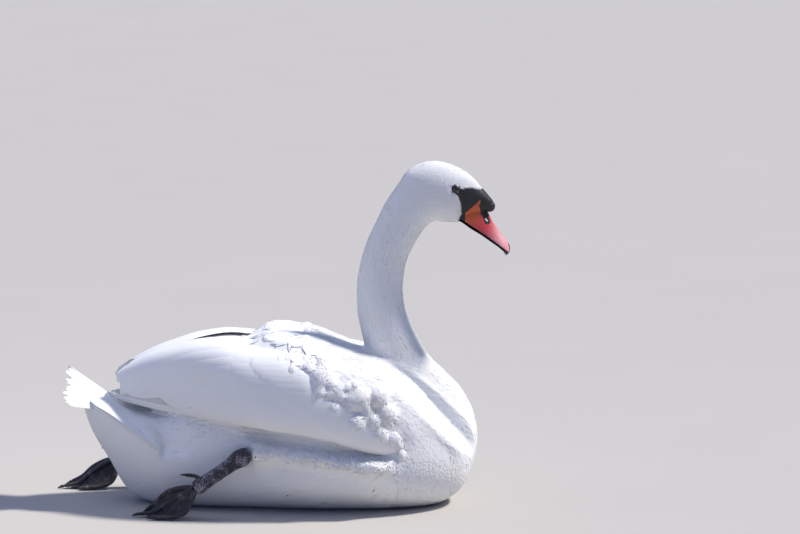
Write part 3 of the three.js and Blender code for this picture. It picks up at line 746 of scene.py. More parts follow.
    def carve(self, points: Array, normals: Array, rng: np.random.Generator) -> Array:
        """Presses in the fold under each wing and swells the flank below it.

        Args:
            points: the joined surface's vertices.
            normals: their normals; not used.
            rng: the seeded source of chance.

        Returns:
            The moved vertices.
        """
        x, y, z = to_part(points).T
        table = np.asarray(self.fold, float)
        level = np.interp(x, table[:, 0], table[:, 1])
        above = z - level
        ends = smoothstep(-85, -45, x) * smoothstep(190, 150, x)
        outer = smoothstep(70, 105, np.abs(y))
        shape = np.where(above > 0, smoothstep(18, 4, above), smoothstep(-13, -3, above))
        press = self.fold_depth * shape * ends * outer
        lumps = np.zeros_like(x)
        for _ in range(60):
            centre, low, size = rng.uniform(-60, 190), rng.uniform(12, 34), rng.uniform(8, 17)
            far = np.hypot(x - centre, (above + low) * 1.1) / size
            lumps = np.maximum(lumps, np.sqrt(np.clip(1 - far**2, 0, 1)) * size / 17)
        ledge = np.exp(-(((above + 24) / 13) ** 2)) * ends * outer
        line = self.neck_line(80)
        table = np.asarray(self.shoulder, float)
        beyond = (z - np.interp(x, table[:, 0], table[:, 1])) * 0.7
        gap = np.hypot(x[:, None] - line[None, :, 0], z[:, None] - line[None, :, 1])
        nearest = gap.argmin(1)
        depth, width = line[nearest, 2] + 13, line[nearest, 3] + 3
        neck_side = width * np.clip(1 - (gap.min(1) / depth) ** 2.4, 0, 1) ** (1 / 2.4)
        bare = smoothstep(-3, 9, beyond) * smoothstep(108, 134, x) * smoothstep(-60, -20, z - 130)
        cut = np.maximum(np.abs(y) - neck_side, 0) * bare * (z < 275)
        rim = 5.0 * np.exp(-(((beyond + 9) / 8) ** 2)) * smoothstep(130, 160, x) * smoothstep(296, 270, x)
        moved = points.copy()
        moved[:, 1] -= np.sign(y) * np.where(np.abs(y) > 4, cut - rim * (np.abs(y) > 30), 0) * MM
        moved[:, 1] -= np.sign(y) * (press - 7.0 * ledge - 9.0 * lumps * ends * outer) * MM
        moved[:, 2] += 3.0 * lumps * ledge * MM
        table = np.asarray(self.leaf, float)
        before = x - np.interp(z, table[::-1, 1], table[::-1, 0])
        step = smoothstep(-2, 4, before) * smoothstep(70, 6, before) * smoothstep(90, 104, z)
        moved[:, 1] -= y * 0.15 * step * (x < -120) * (z < 185) * MM
        return moved


def relax(points: Array, triangles: Array, weight: Array, rounds: int) -> Array:
    """Smooths a mesh by moving its vertices towards their neighbours.

    Args:
        points: vertices.
        triangles: faces.
        weight: how much each vertex moves, from 0 to 1.
        rounds: how often.

    Returns:
        The moved vertices.
    """
    a = np.concatenate([triangles[:, 0], triangles[:, 1], triangles[:, 2]])
    b = np.concatenate([triangles[:, 1], triangles[:, 2], triangles[:, 0]])
    count = np.bincount(a, minlength=len(points)).clip(1)
    for _ in range(rounds):
        mean = np.stack([np.bincount(a, points[b, k], len(points)) for k in range(3)], -1) / count[:, None]
        points = points + (mean - points) * weight[:, None]
    return points


# ---------------------------------------------------------------- how the plumage lies


@dataclass
class Flow:
    """The bird's middle line from the bill to the tail, and the lie of the feathers along it."""

    forms: BodyForms

    def __post_init__(self) -> None:
        """Places the middle line, in metres."""
        head = self.forms.head
        along = np.linspace(85, -50, 12)
        head_line = head.place(along, np.zeros(12), np.linspace(8, 2, 12))
        neck = self.forms.neck_line(40)[::-1]
        neck_line = np.column_stack([neck[:, 0], np.zeros(40), neck[:, 1]])
        trunk_line = np.array(
            [
                (236, 0, 84), (200, 0, 92), (140, 0, 105), (60, 0, 118), (-40, 0, 122), (-140, 0, 122),
                (-230, 0, 128), (-330, 0, 168)
            ]
        )
        raw = np.concatenate([head_line, neck_line[1:], trunk_line])
        walked = np.concatenate([[0.0], np.cumsum(np.linalg.norm(np.diff(raw, axis=0), axis=1))])
        self.length = walked[-1] * MM
        line = read_table(np.column_stack([walked, raw]), np.linspace(0, walked[-1], 240))
        self.line = to_frame(line)
        self.ahead = unit(np.gradient(self.line, axis=0))
        self.share = np.linspace(0, 1, 240)

    def at(self, points: Array) -> tuple[Array, Array]:
        """Reads the lie of the plumage.

        Args:
            points: positions in metres.

        Returns:
            Unit directions from root to tip, and the share of the way along the middle line.
        """
        directions, shares = [], []
        for block in np.array_split(points, max(1, len(points) // 4000)):
            distance = np.linalg.norm(block[:, None] - self.line[None], axis=2)
            weight = 1.0 / distance**5
            weight /= weight.sum(1, keepdims=True)
            directions.append(weight @ self.ahead)
            shares.append(weight @ self.share)
        direction = np.concatenate(directions)
        x, y, z = to_part(points).T
        flank = smoothstep(240, 120, x) * smoothstep(190, 90, z)
        direction[:, 2] -= 0.16 * flank
        tail = smoothstep(-190, -260, x)
        direction[:, 2] += tail * 0.30
        return unit(direction), np.concatenate(shares)

    def unwrap(self, points: Array) -> Array:
        """Unrolls the body round its middle line.

        Args:
            points: positions in metres.

        Returns:
            Places from 0 to 1: along the line, and round it.
        """
        _, share = self.at(points)
        centre = np.stack([np.interp(share, self.share, self.line[:, k]) for k in range(3)], -1)
        ahead = unit(np.stack([np.interp(share, self.share, self.ahead[:, k]) for k in range(3)], -1))
        up = np.cross((0.0, 1.0, 0.0), ahead)
        offset = points - centre
        angle = np.arctan2(offset[:, 1], (offset * up).sum(1))
        return np.stack([share, 0.5 + angle / (2 * math.pi)], -1)


@dataclass(frozen=True)
class Vane:
    """One kind of feather. Sizes in millimetres."""

    length: float
    width: float
    outline: tuple[float, ...] = (0.45, 0.9, 1.0, 0.88, 0.5)  # widths from root to tip
    stations: tuple[float, ...] = (0.0, 0.3, 0.6, 0.86, 1.0)
    columns: int = 3
    sink: float = 2.0  # how far the root lies under the coat's surface
    rise: float = 0.5  # how far the tip lies over it
    crown: float = 0.5  # how much higher the shaft is than the edges
    fray: float = 0.1  # how ragged the tip is, as a share of the length
    stray: float = 0.12  # how much feathers turn from their lie, in radians
    lift: float = 0.0  # how much further some tips stand out


class Plumage:
    """Feathers gathered before they become coat pieces."""

    def __init__(self) -> None:
        """Starts with no feathers."""
        self.batches: list[tuple[Array, Array, Array]] = []

    def add(self, points: Array, roots: Array) -> None:
        """Adds feathers of one kind.

        Args:
            points: vertices, as feather, station, column, xyz, in metres.
            roots: each feather's place from 0 to 1 on the unrolled body.
        """
        self.batches.append((points, roots, np.empty(0)))

    @staticmethod
    def faces(stations: int, columns: int) -> tuple[Array, Array]:
        """The faces of one closed feather: its upper side in columns, and a flat under side.

        Args:
            stations: rows of vertices from root to tip.
            columns: vertices across.

        Returns:
            The quads, and the two end faces.
        """
        i, j = np.meshgrid(np.arange(stations - 1), np.arange(columns - 1), indexing="ij")
        a = (i * columns + j).ravel()
        upper = np.stack([a, a + 1, a + columns + 1, a + columns], -1)
        i = np.arange(stations - 1)
        left, right = i * columns, i * columns + columns - 1
        under = np.stack([left, left + columns, right + columns, right], -1)
        ends = np.stack([np.arange(columns)[::-1], (stations - 1) * columns + np.arange(columns)])
        return np.concatenate([upper, under]), ends

    def pieces(self, name: str) -> list[bpy.types.Object]:
        """Makes the coat's mesh objects, each under the limit of triangles.

        Args:
            name: what the pieces' names start with.

        Returns:
            The objects, each with its OFBake map.
        """
        total = sum(
            len(p) * ((p.shape[1] - 1) * p.shape[2] * 2 + 2 * (p.shape[2] - 2)) for p, _, _ in self.batches
        )
        parts = max(1, math.ceil(total / PIECE_LIMIT))
        made = []
        for part in range(parts):
            points, quads, ends, uvs, sharp, start = [], [], {}, [], [], 0
            for batch, roots, _ in self.batches:
                order = np.argsort(roots[:, 0], kind="stable")
                chosen = np.array_split(order, parts)[part]
                if not len(chosen):
                    continue
                block, where = batch[chosen], roots[chosen]
                count, stations, columns = block.shape[:3]
                own_quads, own_ends = self.faces(stations, columns)
                offsets = start + np.arange(count) * stations * columns
                points.append(block.reshape(-1, 3))
                quads.append((own_quads[None] + offsets[:, None, None]).reshape(-1, 4))
                ends.setdefault(columns, []).append(
                    (own_ends[None] + offsets[:, None, None]).reshape(-1, columns)
                )
                s, t = np.meshgrid(np.linspace(0, 1, columns), np.linspace(0, 1, stations))
                local = np.stack([s, t], -1).reshape(-1, 2) * PATCH
                corner = PATCH + where * (1 - 3 * PATCH)
                uvs.append((corner[:, None] + local[None]).reshape(-1, 2))
                rim = np.zeros((stations, columns), np.int8)
                rim[:, 0] |= 1
                rim[:, -1] |= 2
                rim[0] |= 4
                rim[-1] |= 8
                sharp.append(np.tile(rim.ravel(), count))
                start += count * stations * columns
            tag = f"{name}_{part + 1}" if parts > 1 else name
            obj = make_object(
                tag, np.concatenate(points),
                [np.concatenate(quads)] + [np.concatenate(e) for e in ends.values()]
            )
            self.finish(obj, np.concatenate(uvs), np.concatenate(sharp))
            made.append(obj)
        return made

    @staticmethod
    def finish(obj: bpy.types.Object, uvs: Array, rim: Array) -> None:
        """Gives a coat piece its map and keeps the feathers' edges crisp.

        Args:
            obj: the piece.
            uvs: each vertex's place on the map.
            rim: at each vertex, the sum of 1, 2, 4 and 8 for the left and right edge, the root and the tip.
        """
        mesh = obj.data
        layer = mesh.uv_layers.new(name="OFBake")
        corners = np.empty(len(mesh.loops), np.int32)
        mesh.loops.foreach_get("vertex_index", corners)
        layer.uv.foreach_set("vector", uvs[corners].astype(np.float32).ravel())
        edges = np.empty(len(mesh.edges) * 2, np.int32)
        mesh.edges.foreach_get("vertices", edges)
        a, b = rim[edges.reshape(-1, 2)].T
        crisp = mesh.attributes.new("sharp_edge", "BOOLEAN", "EDGE")
        crisp.data.foreach_set("value", (a & b) > 0)


@dataclass
class Ruffles:
    """Rounded puffs of loose coverts on the front of each wing. Sizes in millimetres, seen from the side."""

    seed: int = 7
    puffs: int = 64
    # x and z of the line that the puffs follow
    line: tuple = (
        (-30, 284), (10, 280), (35, 256), (55, 226), (85, 200), (115, 186), (140, 166), (162, 145),
        (178, 122),
    )
    large: tuple = (  # x, z, radius
        (120, 196, 14), (148, 200, 13), (105, 196, 10), (97, 217, 6), (111, 218, 6), (83, 214, 8),
        (56, 232, 13), (52, 209, 10),
        (35, 249, 9), (21, 275, 8), (29, 284, 7), (114, 159, 13), (130, 182, 9), (163, 171, 12),
        (145, 159, 10), (151, 139, 11),
        (174, 130, 9), (180, 119, 7), (77, 184, 9), (92, 168, 7), (68, 205, 7),
    )
    fullness: float = 0.6  # a puff's height as a share of its radius
    spread: float = 15.0  # how far the puffs scatter from their line
    bed: float = 1.5  # how far the surface sinks between the puffs

    def __post_init__(self) -> None:
        """Places the small puffs along the line."""
        rng = np.random.default_rng(self.seed)
        line = np.array(self.line, float)
        steps = np.concatenate([[0], np.cumsum(np.hypot(*np.diff(line, axis=0).T))])
        at = rng.uniform(0, steps[-1], self.puffs)
        spots = (
            np.stack([np.interp(at, steps, line[:, k]) for k in (0, 1)], -1)
            + rng.normal(0, self.spread, (self.puffs, 2))
        )
        small = np.column_stack([spots, rng.uniform(6.0, 11.0, self.puffs)])
        self.all = np.concatenate([np.array(self.large, float) * (1, 1, 1.3), small])

    def raised(self, points: Array) -> Array:
        """How far the puffs raise each place.

        Args:
            points: positions in metres.

        Returns:
            Heights in millimetres, below 0 between the puffs and 0 far from them.
        """
        part = to_part(points)
        spots = part[:, [0, 2]]
        line = read_line(np.array(self.line, float))
        high, bed = np.zeros(len(part)), np.zeros(len(part))
        near = np.flatnonzero(
            (spots[:, 0] > -60) & (spots[:, 0] < 205) & (spots[:, 1] > 95) & (np.abs(part[:, 1]) > 60)
        )
        away = np.linalg.norm(spots[near, None] - line[None], axis=2).min(1)
        bed[near] = self.bed * smoothstep(32, 14, away)
        for x, z, radius in self.all:
            d = np.hypot(spots[near, 0] - x, spots[near, 1] - z) / radius
            high[near] += (self.fullness * radius * np.sqrt(np.clip(1 - d * d, 0, 1))) ** 4
        return high**0.25 - bed

    def ruffled(self, points: Array) -> Array:
        """How ruffled each place is, from 0 to 1."""
        return np.clip(np.abs(self.raised(points)) / 1.5, 0.0, 1.0)


class Coat:
    """Lays feathers on the coat's surface."""

    FLOOR = 0.0006  # metres that plumage stays above the floor

    def __init__(self, forms: BodyForms, seed: int = 11) -> None:
        """Joins the forms and works out where each kind of feather grows.

        Args:
            forms: the body's forms.
            seed: the source of chance.
        """
        self.forms, self.head = forms, forms.head
        self.rng = np.random.default_rng(seed)
        points, triangles = forms.union()
        points = relax(points, triangles, forms.smoothing(points), 22)
        rough = Surface(points, triangles)
        points = forms.carve(points, rough.normals, self.rng)
        points = relax(points, triangles, np.full(len(points), 0.5), 3)
        self.flow = Flow(forms)
        self.ruffles = Ruffles()
        self.kinds = self.sort_places(points)
        puffed = self.ruffles.raised(points)[:, None] * Surface(points, triangles).normals
        points = relax(points + puffed * MM, triangles, np.full(len(points), 0.4), 2)
        points[:, 2] = np.maximum(points[:, 2], self.FLOOR)
        self.surface = Surface(points, triangles)
        log.info("coat surface: %d triangles", len(triangles))

    def sort_places(self, points: Array) -> Array:
        """Says what part of the bird each vertex belongs to.

        Args:
            points: vertices in metres.

        Returns:
            One Place number for each.
        """
        _, share = self.flow.at(points)
        x, y, z = to_part(points).T
        kinds = np.full(len(points), Place.BODY.value)
        kinds[share < 0.47] = Place.NECK.value
        kinds[(share < 0.135) & (z > 430)] = Place.HEAD.value
        for rows, place, x0, x1, inset in (
            (self.forms.wing, Place.WING, *self.forms.wing_reach, 2.0),
            (self.forms.scapulars, Place.SCAPULAR, -47, 122, 1.0),
        ):
            for side in SIDES.values():
                own, polygons = loft(
                    to_frame(self.forms.lobe_rings(rows, side, np.linspace(x0, x1, 90), 64, inset))
                )
                tree = BVHTree.FromPolygons(own.tolist(), [f.tolist() for p in polygons for f in p])
                near = np.flatnonzero((np.sign(y) == side) & (z > 78) & (share > 0.42))
                distance = np.array([tree.find_nearest(p)[3] for p in points[near].tolist()])
                kinds[near[distance < 3.2 * MM]] = place.value
        tail = (x < -205) & (kinds == Place.BODY.value)
        kinds[tail] = Place.TAIL.value
        return kinds

    def roots(self, place: "Place", spacing: float, keep: Callable[[Array], Array] | None = None) -> Array:
        """Spreads roots over one part of the bird.

        Args:
            place: the part.
            spacing: the least distance, in millimetres.
            keep: tells which positions may carry a root.

        Returns:
            The roots' positions.
        """
        chosen = (self.kinds[self.surface.triangles] == place.value).any(1)
        return self.surface.scatter(
            spacing * MM, chosen, keep or (lambda p: np.ones(len(p), bool)), self.rng,
        )

    def lay(
        self, roots: Array, vane: Vane, lift: Array | float = 0.0, direction: Array | None = None,
        scale: Array | float = 1.0,
    ) -> tuple[Array, Array]:
        """Makes one feather at each root.

        Args:
            roots: positions in metres.
            vane: the kind of feather.
            lift: how much further each tip stands out, in millimetres.
            direction: the lie at each root, where it isn't the flow's.
            scale: how much larger than the kind's size each feather is.

        Returns:
            The feathers' vertices, and their roots' places on the unrolled body.
        """
        rng, count = self.rng, len(roots)
        place, normal, _ = self.surface.nearest(roots)
        flow, _ = self.flow.at(place)
        lie = flow if direction is None else direction
        lie = unit(lie - normal * (lie * normal).sum(-1, keepdims=True))
        across = np.cross(lie, normal)
        turn = rng.normal(0, vane.stray, count)[:, None]
        lie, across = lie * np.cos(turn) + across * np.sin(turn), across * np.cos(turn) - lie * np.sin(turn)
        size = rng.uniform(0.86, 1.14, count) * scale
        length = vane.length * MM * size
        width = vane.width * MM * size * rng.uniform(0.9, 1.1, count)
        t = np.array(vane.stations)[None, :, None, None]
        outline = np.array(vane.outline)[None, :, None, None]
        s = np.linspace(-1, 1, vane.columns)[None, None, :, None]
        sag = (s * s) * t * -0.12
        ragged = rng.normal(0, vane.fray, (count, len(vane.stations), vane.columns, 1)) * t**4
        path = (
            place[:, None, None]
            + lie[:, None, None] * length[:, None, None, None] * (t + sag + ragged)
            + across[:, None, None] * (width / 2)[:, None, None, None] * s * outline
        )
        laid, up, _ = self.surface.nearest(path)
        raise_tip = (np.abs(rng.normal(0, 1, count)) * vane.lift + lift)[:, None, None, None]
        height = (
            -vane.sink + (vane.rise + vane.sink) * t**0.45 + vane.crown * (1 - s * s) * (1 - t**3)
            + raise_tip * t**2
        )
        laid = laid + up * height * MM
        laid[..., 2] = np.maximum(laid[..., 2], self.FLOOR)
        return laid, self.flow.unwrap(place)

    def skin(self) -> bpy.types.Object:
        """Makes the one skin, under the coat by its depth.

        Returns:
            The skin's object.
        """
        points, normals = self.surface.points, self.surface.normals
        depth = np.full(len(points), 1.0)
        depth[self.kinds == Place.HEAD.value] = 0.6
        depth[self.kinds == Place.NECK.value] = 0.7
        depth[self.kinds == Place.WING.value] = 1.3
        smooth = relax(
            np.repeat(depth[:, None], 3, 1), self.surface.triangles, np.full(len(points), 0.5), 6,
        )[:, 0]
        along, up = self.head.local(points)
        bare = self.head.in_bare(along, up, 2.5) & (self.kinds == Place.HEAD.value)
        bare |= (
            np.hypot(along - self.head.eye[0], up - self.head.eye[1]) < 9
        ) & (np.abs(points[:, 1]) > 12 * MM)
        inner = points - normals * np.where(bare, 3.2, smooth)[:, None] * MM
        inner[:, 2] = np.maximum(inner[:, 2], 0.0016)
        return make_object("skin", inner, [self.surface.triangles])


class Place(Enum):
    """The parts of the bird whose feathers differ."""

    HEAD = 0
    NECK = 1
    BODY = 2
    WING = 3
    SCAPULAR = 4
    TAIL = 5


@dataclass
class BodyCoat:
    """The small feathers of the head, neck, body, wings and tail. Spacings in millimetres."""

    coat: Coat
    head_vane: Vane = Vane(
        5.6, 2.8, sink=0.7, rise=0.06, crown=0.10, fray=0.06, stray=0.12, lift=0.03,
        stations=(0, 0.4, 0.8, 1), outline=(0.6, 1, 0.85, 0.4),
    )
    neck_vane: Vane = Vane(
        9.0, 4.2, sink=0.9, rise=0.08, crown=0.14, fray=0.06, stray=0.12, lift=0.05,
        stations=(0, 0.4, 0.8, 1), outline=(0.6, 1, 0.9, 0.45),
    )
    breast_vane: Vane = Vane(13.0, 7.0, sink=1.2, rise=0.05, crown=0.12, fray=0.02, stray=0.06, lift=0.0)
    flank_vane: Vane = Vane(30.0, 15.0, sink=1.5, rise=0.08, crown=0.25, fray=0.03, stray=0.07, lift=0.03)
    covert_vane: Vane = Vane(
        20.0, 12.5, sink=1.4, rise=0.12, crown=0.3, fray=0.04, stray=0.08, lift=0.03,
        outline=(0.5, 0.9, 1, 0.95, 0.6),
    )
    puff_vane: Vane = Vane(
        5.4, 2.7, sink=0.6, rise=0.05, crown=0.08, fray=0.06, stray=0.22, lift=0.05,
        stations=(0, 0.4, 0.8, 1), outline=(0.7, 1, 0.8, 0.3),
    )
    scapular_vane: Vane = Vane(
        48.0, 25.0, sink=1.6, rise=0.2, crown=0.5, fray=0.02, stray=0.06, lift=0.05, columns=5,
        outline=(0.5, 0.9, 1, 0.8, 0.3), stations=(0, 0.3, 0.6, 0.87, 1),
    )
    tail_vane: Vane = Vane(38.0, 13.0, sink=1.5, rise=0.08, crown=0.4, fray=0.03, stray=0.05, lift=0.03)
    fluff_vane: Vane = Vane(
        11.0, 2.6, sink=0.9, rise=0.5, crown=0.2, fray=0.15, stray=0.45, lift=0.7,
        stations=(0, 0.4, 0.8, 1), outline=(0.7, 1, 0.7, 0.25),
    )

    def clear_of_face(self, points: Array) -> Array:
        """Keeps feathers off the bare face, the eyes and the bill.

        Args:
            points: places in metres.

        Returns:
            True for each place that may be feathered.
        """
        along, up = self.coat.head.local(points)
        eye = np.hypot(along - self.coat.head.eye[0], up - self.coat.head.eye[1])
        side = np.abs(points[:, 1]) > 12 * MM
        bare = self.coat.head.in_bare(along, up, 0.2) & (np.abs(points[:, 1]) > 0)
        return ~bare & ~((eye < self.coat.head.eye_clear) & side)

    def head(self) -> Plumage:
        """Feathers the head; they shrink towards the bill.

        Returns:
            The head's plumage.
        """
        made = Plumage()
        roots = self.coat.roots(Place.HEAD, 1.9, self.clear_of_face)
        along, _ = self.coat.head.local(roots)
        scale = np.interp(along, (-60, 10, 60), (1.15, 0.9, 0.55))
        vanes, places = self.coat.lay(roots, self.head_vane, scale=scale)
        tips = vanes[:, -1, 1]
        keep = self.clear_of_face(tips)
        made.add(vanes[keep], places[keep])
        return made

    def neck(self) -> Plumage:
        """Feathers the neck, in a fine grain that grows coarser to its foot.

        Returns:
            The neck's plumage.
        """
        made = Plumage()
        for low, high, spacing, scale in ((300, 999, 2.7, 0.9), (0, 300, 3.2, 1.1)):
            roots = self.coat.roots(
                Place.NECK, spacing, lambda p: (to_part(p)[:, 2] >= low) & (to_part(p)[:, 2] < high),
            )
            made.add(*self.coat.lay(roots, self.neck_vane, scale=scale))
        return made

    def body(self) -> Plumage:
        """Feathers the breast, belly, flanks and back.

        Returns:
            The trunk's plumage.
        """
        made = Plumage()
        breast = self.coat.roots(Place.BODY, 3.9, lambda p: to_part(p)[:, 0] >= 190)
        made.add(*self.coat.lay(breast, self.breast_vane))
        flank = self.coat.roots(Place.BODY, 8.4, lambda p: (to_part(p)[:, 0] < 190) & ~self.under_wing(p))
        made.add(*self.coat.lay(flank, self.flank_vane))
        edge = self.coat.roots(Place.BODY, 4.2, lambda p: (to_part(p)[:, 0] < 190) & self.under_wing(p))
        made.add(*self.coat.lay(edge, self.flank_vane, scale=0.42))
        return made

    def under_wing(self, points: Array) -> Array:
        """Tells which places lie close to a wing's lower edge."""
        x, y, z = to_part(points).T
        edge = np.asarray(self.coat.forms.wing_edge, float)
        return (z > np.interp(x, edge[:, 0], edge[:, 1]) - 30) & (np.abs(y) > 40)

    def fluff(self) -> Plumage:
        """Loose plumage that stands along the top of the flanks.

        Returns:
            The loose plumage.
        """
        made, coat = Plumage(), self.coat
        table = np.asarray(coat.forms.fold, float)

        def on_ledge(points: Array) -> Array:
            """Tells which places lie along the top of the flanks."""
            x, y, z = to_part(points).T
            below = np.interp(x, table[:, 0], table[:, 1]) - z
            return (x > -62) & (x < 175) & (below > 6) & (below < 34) & (np.abs(y) > 80)

        roots = coat.roots(Place.BODY, 2.5, on_ledge)
        flow, _ = coat.flow.at(roots)
        made.add(*coat.lay(roots, self.fluff_vane, direction=unit(flow + (0.3, 0, 0.9))))
        return made

    def wing(self) -> Plumage:
        """The small coverts on the front of the wings, with their puffs.

        Returns:
            The small coverts and the puffs.
        """
        made, coat = Plumage(), self.coat
        line = np.array(
            [
                (88, 190), (104, 178), (138, 150), (160, 112), (182, 76), (222, 56), (240, 36), (258, -30),
                (300, -60)
            ], float,
        )
        roots = coat.roots(
            Place.WING, 5.0,
            lambda p: to_part(p)[:, 0] > np.interp(to_part(p)[:, 2], line[:, 0], line[:, 1]) - 12,
        )
        made.add(*coat.lay(roots[coat.ruffles.ruffled(roots) < 0.2], self.covert_vane))
        loose = coat.roots(Place.WING, 2.05, lambda p: coat.ruffles.ruffled(p) > 0.03)
        made.add(*coat.lay(loose, self.puff_vane, scale=coat.rng.uniform(0.75, 1.2, len(loose))))
        return made

    def scapulars(self) -> Plumage:
        """The large soft feathers of the shoulders."""
        made = Plumage()
        made.add(*self.coat.lay(self.coat.roots(Place.SCAPULAR, 9.0), self.scapular_vane))
        return made

    def tail(self) -> Plumage:
        """The coverts above and below the tail."""
        made = Plumage()
        made.add(*self.coat.lay(self.coat.roots(Place.TAIL, 7.4), self.tail_vane))
        return made


class WingSheet:
    """The outer side of one folded wing, unrolled: x along it, and -1 at its lower edge to 1 at the crest."""

    def __init__(self, forms: BodyForms, side: float) -> None:
        """Unrolls the wing.

        Args:
            forms: the body's forms.
            side: -1 for the right, 1 for the left.
        """
        self.side = side
        self.x = np.linspace(forms.wing[0][0], forms.wing[-1][0], 160)
        outer, inner, top, low = read_table(forms.wing, self.x).T[..., None]
        c, s = forms.wing_section(np.linspace(-math.pi / 2, math.pi / 2 + 0.75, 161))
        middle, width = (outer + inner) / 2, (outer - inner) / 2
        y = np.maximum(middle + c * width - s * forms.wing_lean * width, 1.0)
        z = (top + low) / 2 + s * (top - low) / 2
        rows = np.stack(np.broadcast_arrays(self.x[:, None], side * y, z), -1)
        walked = np.concatenate(
            [np.zeros((len(rows), 1)), np.cumsum(np.linalg.norm(np.diff(rows, axis=1), axis=2), axis=1)], 1,
        )
        edge = np.interp(self.x, *np.array(forms.wing_edge, float).T)
        tops = [row[:, 2].argmax() for row in rows]
        start = np.array(
            [np.interp(e, row[:k, 2], w[:k]) for e, row, w, k in zip(edge, rows, walked, tops)]
        )
        self.span = walked[:, -1] - start
        self.a = np.linspace(-1, 1, 101)
        even = (self.a + 1) / 2
        self.grid = np.stack([
            np.stack([np.interp(w0 + even * (w[-1] - w0), w, row[:, k]) for k in range(3)], -1)
            for w0, w, row in zip(start, walked, rows)
        ])
        du, dv = np.gradient(self.grid, axis=0), np.gradient(self.grid, axis=1)
        self.normals = unit(np.cross(du, dv) * side) * 1.0
        if (self.normals[80, 50, 1] * side) < 0:
            self.normals = -self.normals

    def at(self, x: Array, a: Array) -> tuple[Array, Array]:
        """Reads the sheet.

        Args:
            x: distances along, in millimetres; beyond the ends the sheet runs straight on.
            a: places from the lower edge to the crest.

        Returns:
            Positions in millimetres, and normals.
        """
        over = x - np.clip(x, self.x[0], self.x[-1])
        i = np.clip((x - self.x[0]) / (self.x[1] - self.x[0]), 0, len(self.x) - 1.001)
        j = np.clip((a + 1) * 50, 0, 99.999)
        i0, j0 = i.astype(int), j.astype(int)
        fi, fj = (i - i0)[..., None], (j - j0)[..., None]

        def blend(grid: Array) -> Array:
            """Reads a grid between its four nearest corners.

            Args:
                grid: values at the sheet's rings and places.

            Returns:
                The values in between.
            """
            return (
                grid[i0, j0] * (1 - fi) * (1 - fj) + grid[i0 + 1, j0] * fi * (1 - fj)
                + grid[i0, j0 + 1] * (1 - fi) * fj + grid[i0 + 1, j0 + 1] * fi * fj
            )

        place = blend(self.grid)
        place[..., 0] += over
        return place, unit(blend(self.normals))

    def level(self, x: float, z: float) -> float:
        """Finds how far up the sheet a height lies; above the crest it runs on inwards.

        Args:
            x: the distance along, in millimetres.
            z: the height.

        Returns:
            The place between the lower edge, -1, and the crest, 1.
        """
        row = self.grid[int(np.argmin(np.abs(self.x - x)))]
        crest = int(np.argmax(row[:, 2]))
        level = float(np.interp(z, row[: crest + 1, 2], self.a[: crest + 1]))
        return (
            level + max(0.0, z - row[crest, 2]) * 2 / float(self.span[int(np.argmin(np.abs(self.x - x)))])
        )


@dataclass(frozen=True)
class Quills:
    """One row of large feathers on a wing, from the first, lowest one to the last. Sizes in millimetres."""

    name: str
    count: int
    roots: tuple[tuple[float, float], ...]  # x, z of roots along the row
    tips: tuple[tuple[float, float], ...]  # x, z of tips along the row
    width: tuple[float, float]
    height: tuple[float, float]  # how far the first and last stand off the sheet
    rise: float = 1.2
    camber: float = 1.2
    bow: float = 0.0  # how far the shaft bows upwards
    blunt: float = 0.5  # how broad the tip is
    tuck: float = 0.0  # 1 where the tip lies close on the feathers behind it
    stations: int = 14
    columns: int = 7


